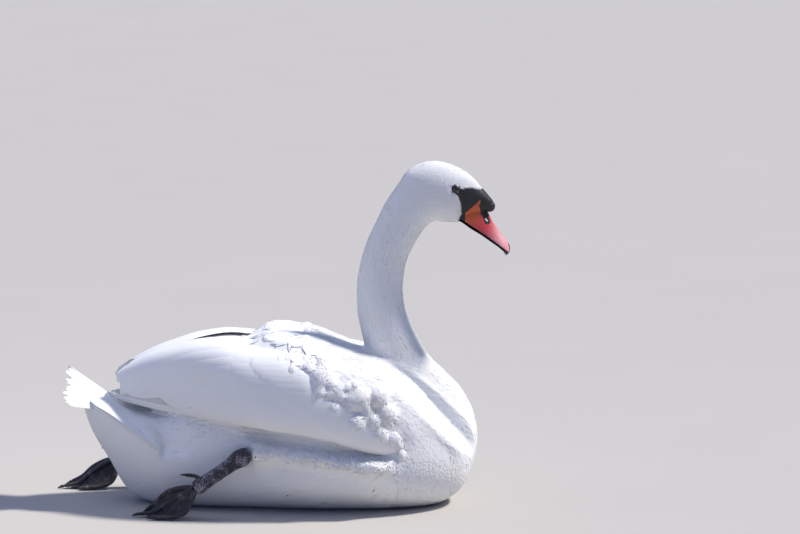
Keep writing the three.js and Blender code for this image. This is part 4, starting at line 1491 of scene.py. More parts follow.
@dataclass
class WingQuills:
    """The large feathers of the folded wings. Sizes in millimetres."""

    coat: Coat
    root_sink: float = 3.6  # how deep the roots lie
    root_rise: float = 2.3  # how much more than its own height a feather climbs from there
    crest_sink: float = 3.0  # how deep the inner edges go into the back
    crest_band: tuple[float, float] = (0.78, 0.97)  # where on the sheet they begin to, and end
    rows: tuple = (
        Quills(
            "secondaries", 9, ((60, 128), (20, 160), (-30, 222)),
            ((-150, 168), (-174, 174), (-196, 182), (-216, 192), (-238, 204)), (30, 34), (0.4, 1.6),
            blunt=0.75,
        ),
        Quills(
            "greater_coverts", 12, ((128, 116), (90, 150), (40, 190), (0, 240)),
            ((-40, 148), (-66, 166), (-90, 190), (-104, 216), (-112, 240)), (33, 34), (1.4, 2.0), blunt=0.7,
            tuck=1,
        ),
        Quills(
            "median_coverts", 14, ((188, 104), (160, 140), (122, 166), (76, 190), (56, 222), (26, 246)),
            ((72, 128), (44, 148), (8, 174), (-34, 200), (-52, 228), (-74, 248)), (29, 31), (1.8, 2.4),
            blunt=0.7, tuck=1,
        ),
        Quills(
            "tertials", 6, ((-20, 252), (-20, 282)), ((-272, 196), (-284, 206), (-282, 216), (-262, 236)),
            (40, 44), (1.8, 3.0), rise=1.0, camber=2.2, bow=5, blunt=0.55, stations=20, columns=9,
        ),
        Quills(
            "tertial_coverts", 7, ((50, 246), (30, 284)), ((-120, 252), (-134, 268), (-130, 288)), (36, 40),
            (2.2, 3.2), rise=0.6, blunt=0.6, tuck=1,
        ),
    )

    def shape(self, row: Quills) -> tuple[Array, Array]:
        """The stations of a feather and its width at each."""
        t = np.linspace(0, 1, row.stations) ** 0.85
        end = np.clip((1 - t) / (0.10 + 0.25 * (1 - row.blunt)), 0, 1)
        return t, (0.35 + 0.65 * smoothstep(0, 0.25, t)) * np.sqrt(1 - (1 - end) ** 2 * 0.93)

    def lay(self, sheet: WingSheet, row: Quills, rng: np.random.Generator) -> Array:
        """Makes one row of large feathers on one wing.

        Args:
            sheet: the wing's unrolled side.
            row: the row.
            rng: the seeded source of chance.

        Returns:
            The vertices in metres, as feather, station, column, xyz.
        """
        t, outline = self.shape(row)
        share = np.linspace(0, 1, row.count)
        roots = np.array(row.roots, float)
        tips = np.array(row.tips, float)
        root, tip = (
            np.stack([np.interp(share, np.linspace(0, 1, len(line)), line[:, k]) for k in (0, 1)], -1)
            for line in (roots, tips)
        )
        tip[:, 0] += rng.normal(0, 2.0, row.count)
        made, ways = [], []
        for k in range(row.count):
            x = root[k, 0] + (tip[k, 0] - root[k, 0]) * t
            a0, a1 = sheet.level(root[k, 0], root[k, 1]), sheet.level(tip[k, 0], tip[k, 1])
            span = np.interp(x, sheet.x, sheet.span)
            a = a0 + (a1 - a0) * t + row.bow * np.sin(math.pi * t) * 2 / span
            ahead = np.stack([np.gradient(x), np.gradient(a) * span / 2], -1)
            ahead = unit(ahead)
            s = np.linspace(-1, 1, row.columns)
            half = outline * (row.width[0] + (row.width[1] - row.width[0]) * share[k]) / 2
            ragged = rng.normal(0, 0.5, (len(t), row.columns)) * (t**10)[:, None]
            curve = (s**2)[None] * (t**8)[:, None] * -4.0
            px = x[:, None] - ahead[:, 1:2] * s[None] * half[:, None] + ahead[:, :1] * (ragged + curve)
            pa = (
                a[:, None]
                + (ahead[:, :1] * s[None] * half[:, None] + ahead[:, 1:2] * (ragged + curve)) * 2
                / span[:, None]
            )
            pa = pa - np.maximum(pa.max(1, keepdims=True) - 0.97, 0)  # the whole width stays on the sheet
            pa = pa + np.maximum(-1.0 - pa.min(1, keepdims=True), 0)
            place, normal = sheet.at(px, pa)
            over = row.height[0] + (row.height[1] - row.height[0]) * share[k]
            base = -self.root_sink + (over + self.root_rise) * smoothstep(0.0, 0.35, t)[:, None]
            tilt = -0.9 * s[None]  # the upper edge lies under the next feather
            high = (
                base + row.rise * t[:, None] ** 2 + row.camber * (1 - s[None] ** 2) * (1 - t[:, None] ** 4)
                + tilt * 0.6
            )
            high = high - row.tuck * (over + row.rise + 1.2) * smoothstep(0.84, 1.0, t)[:, None]
            high = high - (over + row.rise + self.crest_sink) * smoothstep(*self.crest_band, pa)
            made.append(place + normal * high[..., None])
            ways.append(normal[len(t) // 2, row.columns // 2])
        return facing(to_frame(np.array(made)), np.array(ways))

    def build(self) -> dict[str, Plumage]:
        """Makes the large feathers of both wings.

        Returns:
            The plumage of each side, by its name.
        """
        found = {}
        for name, side in SIDES.items():
            rng = np.random.default_rng(31 if name == "right" else 32)
            sheet, plumage = WingSheet(self.coat.forms, side), Plumage()
            for row in self.rows:
                vanes = self.lay(sheet, row, rng)
                plumage.add(vanes, self.coat.flow.unwrap(vanes[:, 0, row.columns // 2]))
            plumage.add(*self.primaries(side, rng))
            found[name] = plumage
        return found

    def primaries(self, side: float, rng: np.random.Generator) -> tuple[Array, Array]:
        """The slender tips that show behind the folded wing.

        Args:
            side: -1 for the right, 1 for the left.
            rng: the seeded source of chance.

        Returns:
            The vertices in metres, and the roots' places on the unrolled body.
        """
        made, t, s = [], np.linspace(0, 1, 12), np.linspace(-1, 1, 5)
        for k in range(5):
            tip = np.array([-296 + 9 * k, 17 + 5 * k, 181 + 1.5 * k])
            root = np.array([-150, 84 - 3 * k, 160 + 4 * k])
            shaft = root + (tip - root) * t[:, None]
            shaft[:, 1] += 10 * np.sin(math.pi * t)
            half = 7.5 * np.sqrt(np.clip(1 - np.clip((t - 0.55) / 0.45, 0, 1) ** 2 * 0.97, 0, 1))
            across = np.array([0, 0.55, 0.83])
            place = shaft[:, None] + across * (s[None] * half[:, None])[..., None]
            place[..., 1] += 1.1 * (1 - s**2) + 0.8 * k
            place[..., 1] *= side
            made.append(place)
        vanes = facing(to_frame(np.array(made)), np.array([0.0, side, 0.0]))
        return vanes, self.coat.flow.unwrap(vanes[:, 0, 2])


@dataclass
class TailFan:
    """The stiff feathers of the tail, in a fan like a low roof. Sizes in millimetres and degrees."""

    coat: Coat
    root: tuple[float, float] = (-236.0, 133.0)
    pitch: float = 35.0
    spread: float = 31.0
    feathers: int = 22
    middle_length: float = 160.0
    outer_length: float = 155.0
    roof_slope: float = 0.72
    ridge_width: float = 26.0
    edge: tuple = (
        (-208, 101, 101), (-218, 99, 109), (-240, 92, 123), (-270, 81, 142), (-298, 69, 160),
        (-326, 50, 172),
    )
    ridge: tuple = (
        (-216, 40, 150), (-224, 36, 152), (-244, 30, 156), (-272, 22, 167), (-298, 14, 180), (-326, 8, 187),
    )
    stand: float = 1.4

    def place(self, share: Array, distance: Array, high: Array) -> Array:
        """Puts a place in the fan into the part's millimetres.

        Args:
            share: from -1 at the right edge to 1 at the left.
            distance: from the fan's root.
            high: height above the fan.

        Returns:
            Positions in millimetres.
        """
        pitch, angle = math.radians(self.pitch), np.radians(self.spread) * share
        side = np.sin(angle) * distance
        drop = self.roof_slope * (np.sqrt(side**2 + self.ridge_width**2) - self.ridge_width)
        ahead = np.cos(angle) * distance
        x = self.root[0] - ahead * math.cos(pitch) + (high - drop) * math.sin(pitch)
        z = self.root[1] + ahead * math.sin(pitch) + (high - drop) * math.cos(pitch)
        return np.stack([x, side, z], -1)

    def build(self) -> Plumage:
        """Makes the fan: the middle feathers lie over those beside them.

        Returns:
            The fan's plumage.
        """
        rng, plumage = np.random.default_rng(41), Plumage()
        t, s = np.linspace(0.12, 1, 18), np.linspace(-1, 1, 7)
        made = []
        for k, share in enumerate(np.linspace(-0.93, 0.93, self.feathers)):
            reach = (
                self.middle_length + (self.outer_length - self.middle_length) * share**2
                + rng.normal(-2, 2.6)
            )
            pointed = np.sqrt(np.clip(1 - np.clip((t - 0.80) / 0.20, 0, 1) ** 2.2, 0.02, 1))
            half = 0.105 * pointed
            ragged = rng.normal(0, 1.3, (len(t), len(s))) * (t**10)[:, None]
            swing = rng.normal(0, 0.012)
            where = np.clip(share + swing * t[:, None] + s[None] * half[:, None], -1.02, 1.02)
            under = (1 - abs(share)) * 2.4 + (k % 2) * 0.35
            outer = np.sign(share) * s[None]
            high = (
                under + 0.7 * (1 - s[None] ** 2) - 0.5 * outer + 0 * t[:, None]
                + rng.normal(0, 0.8) * t[:, None] ** 4
            )
            made.append(
                self.place(
                    where, t[:, None] * reach + ragged - 2.5 * (s[None] ** 2) * (t[:, None] ** 6), high,
                )
            )
        vanes = facing(to_frame(np.array(made)), np.array([0.0, 0.0, 1.0]))
        plumage.add(vanes, self.coat.flow.unwrap(vanes[:, 0, 3]))
        for side in SIDES.values():
            vanes = facing(to_frame(self.rim(side, rng)), np.array([0.3, 0.0, 1.0]))
            plumage.add(vanes, self.coat.flow.unwrap(vanes[:, 0, 3]))
        return plumage

    def rim(self, side: float, rng: np.random.Generator) -> Array:
        """The long coverts along one edge of the tail, whose outer edges stand over the feathers below.

        Args:
            side: -1 for the right, 1 for the left.
            rng: the seeded source of chance.

        Returns:
            Vertices in millimetres, as feather, station, column, xyz.
        """
        edge, ridge = np.array(self.edge, float), np.array(self.ridge, float)
        share = np.concatenate([[0.0], np.cumsum(np.linalg.norm(np.diff(edge, axis=0), axis=1))])
        share /= share[-1]
        t, s, made = np.linspace(0, 1, 16), np.linspace(-1, 1, 7), []
        for row, start in [(row, start) for row in (2, 1, 0) for start in np.linspace(-0.06, 0.62, 8)]:
            at = np.clip(start + t * rng.uniform(0.36, 0.42), 0, 1)
            low = read_table(np.column_stack([share, edge]), at)
            high = read_table(np.column_stack([share, ridge]), at)
            inwards = unit(high - low)
            up = unit(np.cross(inwards, np.gradient(low, axis=0)))
            up = up * np.sign(up[:, 2:])
            half = 11.5 * np.sqrt(np.clip(1 - np.clip((t - 0.6) / 0.4, 0, 1) ** 2.2 * 0.96, 0, 1))
            half = half * (0.55 + 0.45 * smoothstep(0, 0.2, t))
            middle = 9.0 - 0.5 * (11.5 - half) + row * 15.0
            stand = self.stand * smoothstep(-0.05, 0.15, at) * (0.6 + 0.4 * t) + 0.9 * (2 - row)
            place = low[:, None] + inwards[:, None] * (middle[:, None] + s[None] * half[:, None])[..., None]
            place = place + up[:, None] * (stand[:, None] + 0.8 * (1 - s[None] ** 2))[..., None]
            place[..., 1] *= side
            made.append(place)
        return np.array(made)


# ---------------------------------------------------------------- finishes


class Sock:
    """One output of a node, on which sums are written as Python expressions."""

    def __init__(self, graph: "Graph", socket: bpy.types.NodeSocket) -> None:
        """Wraps a socket of a graph."""
        self.graph, self.socket = graph, socket

    def calc(self, operation: str, *others: "Sock | float", first: bool = True) -> "Sock":
        """Adds one Math node.

        Args:
            operation: the node's operation.
            others: the other operands.
            first: whether this socket is the first operand.

        Returns:
            The node's output.
        """
        operands = (self, *others) if first else (*others, self)
        return self.graph.add("ShaderNodeMath", {"operation": operation}, dict(enumerate(operands)))

    def __add__(self, other: "Sock | float") -> "Sock":
        """Adds."""
        return self.calc("ADD", other)

    __radd__ = __add__

    def __sub__(self, other: "Sock | float") -> "Sock":
        """Takes away."""
        return self.calc("SUBTRACT", other)

    def __rsub__(self, other: "Sock | float") -> "Sock":
        """Is taken away from another."""
        return self.calc("SUBTRACT", other, first=False)

    def __mul__(self, other: "Sock | float") -> "Sock":
        """Multiplies."""
        return self.calc("MULTIPLY", other)

    __rmul__ = __mul__

    def __truediv__(self, other: "Sock | float") -> "Sock":
        """Divides."""
        return self.calc("DIVIDE", other)

    def __rtruediv__(self, other: "Sock | float") -> "Sock":
        """Divides another."""
        return self.calc("DIVIDE", other, first=False)

    def lower(self, other: "Sock | float") -> "Sock":
        """The lesser of two."""
        return self.calc("MINIMUM", other)

    def higher(self, other: "Sock | float") -> "Sock":
        """The greater of two."""
        return self.calc("MAXIMUM", other)

    def step(self, low: float, high: float) -> "Sock":
        """Goes smoothly from 0 at low to 1 at high."""
        inputs = {0: self, 1: low, 2: high, 3: 0.0, 4: 1.0}
        return self.graph.add("ShaderNodeMapRange", {"interpolation_type": "SMOOTHSTEP"}, inputs)


Value = Sock | float | tuple


class Graph:
    """A material's nodes."""

    def __init__(self, name: str) -> None:
        """Starts a material with one Principled shader.

        Args:
            name: the material's name.
        """
        self.material = bpy.data.materials.new(name)
        self.material.use_nodes = True
        self.tree = self.material.node_tree
        self.tree.nodes.clear()
        self.shader = self.tree.nodes.new("ShaderNodeBsdfPrincipled")
        output = self.tree.nodes.new("ShaderNodeOutputMaterial")
        self.tree.links.new(self.shader.outputs[0], output.inputs[0])

    def put(self, target: bpy.types.NodeSocket, value: Value) -> None:
        """Links a socket, or sets its number or colour.

        Args:
            target: the socket that takes the value.
            value: a socket, a number or a colour.
        """
        if isinstance(value, Sock):
            self.tree.links.new(value.socket, target)
        elif isinstance(value, tuple) and target.type == "RGBA":
            target.default_value = (*value, 1.0)[:4]
        else:
            target.default_value = value

    def add(
        self, kind: str, settings: dict | None = None, inputs: dict | None = None, output: int | str = 0,
    ) -> Sock:
        """Adds any node.

        Args:
            kind: the node's type.
            settings: its properties, which are set first.
            inputs: values or links by its sockets' names or numbers.
            output: which output is wanted.

        Returns:
            That output.
        """
        node = self.tree.nodes.new(kind)
        for key, value in (settings or {}).items():
            setattr(node, key, value)
        for key, value in (inputs or {}).items():
            self.put(node.inputs[key], value)
        return Sock(self, node.outputs[output])

    def spot(self) -> Sock:
        """Where the surface is, in the object's own metres."""
        return self.add("ShaderNodeTexCoord", output="Object")

    def part(self, vector: Sock, direction: tuple[float, float, float]) -> Sock:
        """How far a vector reaches along a direction."""
        return self.add(
            "ShaderNodeVectorMath", {"operation": "DOT_PRODUCT"}, {0: vector, 1: direction}, "Value",
        )

    def noise(self, scale: float, detail: float = 3.0, stretch: tuple = (1, 1, 1)) -> Sock:
        """Soft random spots of a size.

        Args:
            scale: how many to the metre.
            detail: how much fine grain they have.
            stretch: how each axis is scaled.

        Returns:
            A value about 0.5.
        """
        vector = self.add("ShaderNodeVectorMath", {"operation": "MULTIPLY"}, {0: self.spot(), 1: stretch})
        return self.add("ShaderNodeTexNoise", None, {"Vector": vector, "Scale": scale, "Detail": detail})

    def mix(self, factor: Value, first: Value, second: Value) -> Sock:
        """Goes from the first colour to the second."""
        return self.add("ShaderNodeMix", {"data_type": "RGBA"}, {0: factor, 6: first, 7: second}, 2)

    def bump(self, height: Sock, distance: float, strength: float = 0.6) -> Sock:
        """Turns a height into a surface's relief.

        Args:
            height: from 0 to 1.
            distance: how high 1 stands, in metres.
            strength: how much of it shows.

        Returns:
            A normal.
        """
        return self.add(
            "ShaderNodeBump", None, {"Height": height, "Distance": distance, "Strength": strength},
        )

    def set(self, **values: Value) -> None:
        """Sets the shader's sockets; underscores in names stand for spaces."""
        for key, value in values.items():
            self.put(self.shader.inputs[key.replace("_", " ")], value)


@dataclass(frozen=True)
class FeatherFinish:
    """White plumage, faintly cream in soft random patches."""

    name: str = "plumage"
    white: tuple = (0.86, 0.86, 0.85)
    cream: tuple = (0.80, 0.76, 0.66)
    roughness: float = 0.72
    sheen: float = 0.12

    def build(self) -> bpy.types.Material:
        """Makes the material.

        Returns:
            The material.
        """
        g = Graph(self.name)
        patch = g.noise(22.0, 4.0).step(0.5, 0.78) * 0.35
        fine = g.noise(420.0, 2.0)
        colour = g.mix(patch, self.white, self.cream)
        barbs = g.noise(900.0, 2.0, (0.35, 1.0, 1.0))
        g.set(
            Base_Color=colour, Roughness=self.roughness + fine * 0.1, Sheen_Weight=self.sheen,
            Sheen_Roughness=0.4,
        )
        g.set(Normal=g.bump(barbs, 0.0006, 0.35))
        return g.material


@dataclass(frozen=True)
class BillFinish:
    """Orange to crimson horn, paling to rose towards the tip and on top as a painted highlight, with a black
    mask round its base, its nostrils and its cutting edge.
    """

    head: HeadForm
    name: str = "bill_horn"
    origin: tuple[float, float] = (52.0, -8.0)
    pitch: float = 24.0
    orange: tuple = (0.56, 0.10, 0.018)
    crimson: tuple = (0.60, 0.06, 0.065)
    # pale rose of the painted highlight towards the tip and on top
    painted_highlight_pink: tuple = (0.74, 0.33, 0.36)
    black: tuple = (0.010, 0.010, 0.012)

    def build(self) -> bpy.types.Material:
        """Makes the material.

        Returns:
            The material.
        """
        g = Graph(self.name)
        turn = math.radians(self.head.pitch)
        both = turn + math.radians(self.pitch)
        x0, z0 = self.head.origin[0] + CENTRE_X, self.head.origin[1]
        ox = x0 + self.origin[0] * math.cos(turn) + self.origin[1] * math.sin(turn)
        oz = z0 - self.origin[0] * math.sin(turn) + self.origin[1] * math.cos(turn)
        spot = g.spot()
        along = (
            g.part(spot, (math.cos(both) / MM, 0, -math.sin(both) / MM))
            - (ox * math.cos(both) - oz * math.sin(both))
        )
        up = (
            g.part(spot, (math.sin(both) / MM, 0, math.cos(both) / MM))
            - (ox * math.sin(both) + oz * math.cos(both))
        )
        wander = (g.noise(160.0, 2.0) - 0.5) * 1.6
        edge = along * 0.33 - along * along * 0.00085 - 19.0
        rim = (up - edge + wander * 0.5).step(3.1, 1.9).higher((along + wander).step(0.6, -0.6))
        rim = rim.higher((up + along * 0.95 + wander + 0.0).step(-2.5, -3.8))
        band = self.capsule(g, along + wander, up, (9.0, 25.0), (35.0, 14.5), 4.7)
        crown = (up + along * 0.86 + wander).step(29.2, 30.2) * along.step(20.5, 19.0)
        mask = rim.higher(band).higher(crown)
        horn = g.mix(along.step(12.0, 34.0), self.orange, self.crimson)
        # painted highlight: the horn pales to rose towards the tip and on its upper side
        horn = g.mix((along + up * 0.4 + wander * 2).step(40.0, 82.0), horn, self.painted_highlight_pink)
        horn = g.mix(g.noise(260.0, 4.0, (0.4, 1, 1)).step(0.45, 0.75) * 0.3, horn, self.crimson)
        grain = g.noise(700.0, 3.0)
        wrinkle = g.noise(240.0, 4.0, (0.5, 1.0, 1.0))
        g.set(Base_Color=g.mix(mask, horn, self.black), Roughness=0.34 + grain * 0.14 + mask * 0.08)
        g.set(Normal=g.bump(wrinkle * 0.7 + grain * 0.3, 0.0009, 0.5), Specular_IOR_Level=0.5)
        return g.material

    @staticmethod
    def capsule(g: Graph, x: Sock, y: Sock, start: tuple, end: tuple, radius: float) -> Sock:
        """A round-ended band between two places.

        Args:
            g: the graph.
            x: distance along.
            y: distance up.
            start: one end.
            end: the other end.
            radius: half the band's width.

        Returns:
            1 within the band.
        """
        dx, dy = end[0] - start[0], end[1] - start[1]
        length = dx * dx + dy * dy
        px, py = x - start[0], y - start[1]
        t = ((px * dx + py * dy) / length).higher(0.0).lower(1.0)
        far = (px - t * dx) * (px - t * dx) + (py - t * dy) * (py - t * dy)
        return far.calc("SQRT").step(radius + 0.5, radius - 0.5)


@dataclass(frozen=True)
class SkinFinish:
    """Leathery skin or horn in one colour, with lighter patches: wear, and on the legs also a painted
    highlight.
    """

    name: str
    colour: tuple
    wear_and_highlight: tuple
    roughness: float = 0.45
    grain: float = 520.0
    relief: float = 0.0008
    wear_and_highlight_range: tuple[float, float] = (0.48, 0.75)
    scaly: bool = False

    def build(self) -> bpy.types.Material:
        """Makes the material.

        Returns:
            The material.
        """
        g = Graph(self.name)
        # lighter patches: wear, and on the legs' scales a painted highlight
        wear_and_highlight_patches = g.noise(70.0, 5.0).step(*self.wear_and_highlight_range)
        grain = g.noise(self.grain, 3.0)
        height = grain
        if self.scaly:
            cells = g.add(
                "ShaderNodeTexVoronoi", {"feature": "DISTANCE_TO_EDGE"},
                {"Vector": g.spot(), "Scale": 330.0},
            )
            height = cells.step(0.0, 0.16) * 0.8 + grain * 0.2
            wear_and_highlight_patches = wear_and_highlight_patches * cells.step(0.02, 0.2)
        g.set(Base_Color=g.mix(wear_and_highlight_patches, self.colour, self.wear_and_highlight), Roughness=self.roughness + grain * 0.15)
        g.set(Normal=g.bump(height, self.relief, 0.6))
        return g.material


@dataclass(frozen=True)
class EyeFinish:
    """A dark brown, wet eye with a black pupil."""

    name: str = "eye_wet"
    iris: tuple = (0.022, 0.011, 0.006)
    pupil: tuple = (0.002, 0.002, 0.002)

    def build(self) -> bpy.types.Material:
        """Makes the material.

        Returns:
            The material.
        """
        g = Graph(self.name)
        side = g.part(g.spot(), (0, 1000.0, 0)).calc("ABSOLUTE")
        flecks = g.noise(900.0, 3.0)
        g.set(
            Base_Color=g.mix(
                side.step(30.2, 30.9), g.mix(flecks, self.iris, (0.035, 0.018, 0.01)), self.pupil,
            )
        )
        g.set(Roughness=0.08 + flecks * 0.03, Coat_Weight=1.0, Coat_Roughness=0.03)
        return g.material


@dataclass(frozen=True)
class FloorFinish:
    """A plain pale matt floor."""

    name: str = "floor_pale"
    colour: tuple = (0.50, 0.475, 0.435)

    def build(self) -> bpy.types.Material:
        """Makes the material.

        Returns:
            The material.
        """
        g = Graph(self.name)
        shade = g.noise(3.0, 4.0)
        g.set(Base_Color=g.mix(shade, self.colour, tuple(c * 0.95 for c in self.colour)), Roughness=0.9)
        return g.material


def dress(obj: bpy.types.Object, material: bpy.types.Material, slot: str, *nodes: str) -> bpy.types.Object:
    """Finishes a piece, hangs it under the frame's root and hides the CAD parts that it stands for.

    Args:
        obj: the piece.
        material: its material.
        slot: the record's material slot; not used.
        nodes: the CAD nodes that it stands for.

    Returns:
        The piece.
    """
    obj.data.materials.clear()
    obj.data.materials.append(material)
    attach(obj, "root")
    if nodes:
        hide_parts(*nodes)
    log.info("%s: %d faces", obj.name, len(obj.data.polygons))
    return obj


# ---------------------------------------------------------------- what repeats


class Studs:
    """A Geometry Nodes tree that sets small raised plates over a surface."""

    def __init__(self) -> None:
        """Builds the tree with its named inputs."""
        self.tree = bpy.data.node_groups.new("studs", "GeometryNodeTree")
        face = self.tree.interface
        face.new_socket("Surface", in_out="INPUT", socket_type="NodeSocketGeometry")
        self.inputs = {
            name: face.new_socket(name, in_out="INPUT", socket_type=kind).identifier
            for name, kind in (
                ("Spacing", "NodeSocketFloat"), ("Width", "NodeSocketFloat"), ("Height", "NodeSocketFloat"),
                ("Seed", "NodeSocketInt"), ("Finish", "NodeSocketMaterial"),
            )
        }
        face.new_socket("Plates", in_out="OUTPUT", socket_type="NodeSocketGeometry")
        start, end = self.node("NodeGroupInput"), self.node("NodeGroupOutput")
        spread = self.node("GeometryNodeDistributePointsOnFaces")
        spread.distribute_method = "POISSON"
        plate = self.node("GeometryNodeMeshIcoSphere")
        plate.inputs["Subdivisions"].default_value = 1
        plate.inputs["Radius"].default_value = 0.5
        size = self.node("ShaderNodeCombineXYZ")
        setting = self.node("GeometryNodeInstanceOnPoints")
        real, finish = self.node("GeometryNodeRealizeInstances"), self.node("GeometryNodeSetMaterial")
        for source, out, target, into in (
            (start, "Surface", spread, "Mesh"), (start, "Spacing", spread, "Distance Min"),
            (start, "Seed", spread, "Seed"),
            (start, "Width", size, "X"), (start, "Width", size, "Y"), (start, "Height", size, "Z"),
            (spread, "Points", setting, "Points"), (spread, "Rotation", setting, "Rotation"),
            (plate, "Mesh", setting, "Instance"),
            (size, "Vector", setting, "Scale"), (setting, "Instances", real, "Geometry"),
            (real, "Geometry", finish, "Geometry"),
            (start, "Finish", finish, "Material"), (finish, "Geometry", end, "Plates"),
        ):
            self.tree.links.new(source.outputs[out], target.inputs[into])
        spread.inputs["Density Max"].default_value = 900_000.0

    def node(self, kind: str) -> bpy.types.Node:
        """Adds a node to the tree."""
        return self.tree.nodes.new(kind)

    def over(
        self, name: str, base: bpy.types.Object, spacing: float, width: float, height: float, seed: int,
        finish: bpy.types.Material,
    ) -> bpy.types.Object:
        """Covers a surface with plates.

        Args:
            name: the new piece's name.
            base: the surface.
            spacing: the least distance between plates, in metres.
            width: a plate's width.
            height: its height.
            seed: the source of chance.
            finish: the plates' material.

        Returns:
            The plates as one plain mesh.
        """
        obj = bpy.data.objects.new(name, base.data.copy())
        bpy.context.scene.collection.objects.link(obj)
        modifier = obj.modifiers.new("Studs", "NODES")
        modifier.node_group = self.tree
        for key, value in (
            ("Spacing", spacing), ("Width", width), ("Height", height), ("Seed", seed), ("Finish", finish),
        ):
            modifier[self.inputs[key]] = value
        bake_modifiers(obj)
        smooth(obj)
        return obj


# ---------------------------------------------------------------- head pieces


HEAD_MIDDLE = (260.0, 0.0, 505.0)  # a place within the head, in the part's millimetres


@dataclass
class BillParts:
    """The bill, the bare face, the knob and the eyes. Sizes in millimetres and degrees."""

    head: HeadForm
    origin: tuple[float, float] = (52.0, -8.0)
    pitch: float = 24.0
    gap: float = 0.35
    rows: tuple = (  # along, ridge, cutting edge, lower edge, half width
        (0, 26, -19, -22, 20), (9, 28.5, -16, -18.5, 19), (26, 24.6, -11.2, -14.8, 16.8),
        (45, 19.6, -5.8, -8.8, 15.2),
        (65, 17.6, -0.6, -3.8, 15.4), (82, 16.2, 2.8, 0.2, 15.4), (91, 14, 4, 1.6, 13),
        (97, 10, 5.4, 3.4, 7.5),
    )
    nail: tuple = (
        (86, 15.9, 4.4, 6.5), (91, 14.6, 1.2, 7.6), (96, 11.2, 0.3, 6.6), (98.6, 7.6, 0.2, 3.8),
        (99.4, 5.2, 0.8, 1.4),
    )
    nostril: tuple[float, float] = (33.5, 14.2)
    nostril_radii: tuple[float, float, float] = (5.0, 30.0, 1.9)
    nostril_pitch: float = 10.0  # how much steeper than the bill the nostrils lie
    face_sink: float = 0.9  # how far the bare face lies under the head's form
    face_depth: float = 1.6
    lid_turn: float = 0.12  # radians, how much steeper than the head the lids lie
    lid_reach: tuple[float, float] = (5.1, 4.2)  # half length and half height of the lids' opening
    lid_section: tuple[float, float] = (1.35, 0.85)  # half width and half height of a lid's edge

    def place(self, along: Array, side: Array, up: Array) -> Array:
        """Puts places in the bill's own directions into the part's millimetres.

        Args:
            along: distances along the bill.
            side: distances from the middle plane.
            up: distances up the bill.

        Returns:
            Points in the part's millimetres.
        """
        turn = math.radians(self.pitch)
        return self.head.place(
            self.origin[0] + along * math.cos(turn) + up * math.sin(turn), side,
            self.origin[1] - along * math.sin(turn) + up * math.cos(turn),
        )

    def mandible(
        self, name: str, along: Array, top: Array, bottom: Array, width: Array, pinch: float, flat: float,
    ) -> bpy.types.Object:
        """Makes one half of the bill.

        Args:
            name: the piece's name.
            along: where its rings are.
            top: the upper edge at each ring.
            bottom: the lower edge.
            width: the half width.
            pinch: how much narrower it gets towards the ridge.
            flat: how much of its height lies below the widest place.

        Returns:
            The piece.
        """
        angle = np.linspace(0, 2 * math.pi, 56, endpoint=False)
        c, s = rounded(angle, 2.1)
        height = (top - bottom)[:, None]
        up = (
            bottom[:, None]
            + np.where(s > 0, flat * height + s * height * (1 - flat), flat * height * (1 + s))
        )
        side = c * width[:, None] * (1 - pinch * np.clip(s, 0, 1) ** 1.2 * (1 - 0.4 * np.clip(s, 0, 1)))
        rings = self.place(along[:, None], side, up)
        points, polygons = loft(to_frame(rings))
        return make_object(name, points, outward(points, polygons))

    def bill(self) -> tuple[bpy.types.Object, bpy.types.Object, bpy.types.Object]:
        """Makes the upper half with its nostrils, the lower half and the nail.

        Returns:
            The three pieces.
        """
        along = np.linspace(0, 97, 64)
        ridge, edge, low, width = read_table(self.rows, along).T
        upper = self.mandible("upper_bill", along, ridge, edge + self.gap, width, 0.34, 0.10)
        self.pierce(upper)
        lower_along = np.linspace(2, 94, 50)
        ridge, edge, low, width = read_table(self.rows, lower_along).T
        lower = self.mandible("lower_bill", lower_along, edge - self.gap, low, width - 1.6, 0.0, 0.5)
        nail_along = np.linspace(86, 99.4, 16)
        top, bottom, half = read_table(self.nail, nail_along).T
        return upper, lower, self.mandible("nail", nail_along, top + 0.5, bottom, half, 0.15, 0.3)

    def pierce(self, upper: bpy.types.Object) -> None:
        """Cuts the nostrils' long opening through the upper half.

        Args:
            upper: the bill's upper half.
        """
        cutter_points, cutter_faces = self.ball(*self.nostril_radii, 20, 14)
        turned = pitched(cutter_points, self.pitch + self.head.pitch + self.nostril_pitch)
        centre = self.place(np.array(self.nostril[0]), np.array(0.0), np.array(self.nostril[1]))
        points = to_frame(turned + centre)
        cutter = make_object("cutter", points, outward(points, cutter_faces))
        cut = upper.modifiers.new("Nostril", "BOOLEAN")
        cut.operation, cut.object, cut.solver = "DIFFERENCE", cutter, "EXACT"
        bake_modifiers(upper)
        bpy.data.objects.remove(cutter)

    @staticmethod
    def ball(rx: float, ry: float, rz: float, sides: int, rings: int) -> tuple[Array, list[Array]]:
        """A closed ellipsoid about the origin, as points and faces.

        Args:
            rx: radius along x.
            ry: radius along y.
            rz: radius along z.
            sides: points in a ring.
            rings: how many rings.

        Returns:
            Its points, and its faces.
        """
        polar = np.linspace(0.06, math.pi - 0.06, rings)
        turn = np.linspace(0, 2 * math.pi, sides, endpoint=False)
        x = rx * np.cos(polar)[:, None] * np.ones(sides)
        y, z = ry * np.sin(polar)[:, None] * np.cos(turn), rz * np.sin(polar)[:, None] * np.sin(turn)
        return loft(np.stack([x, y, z], -1))

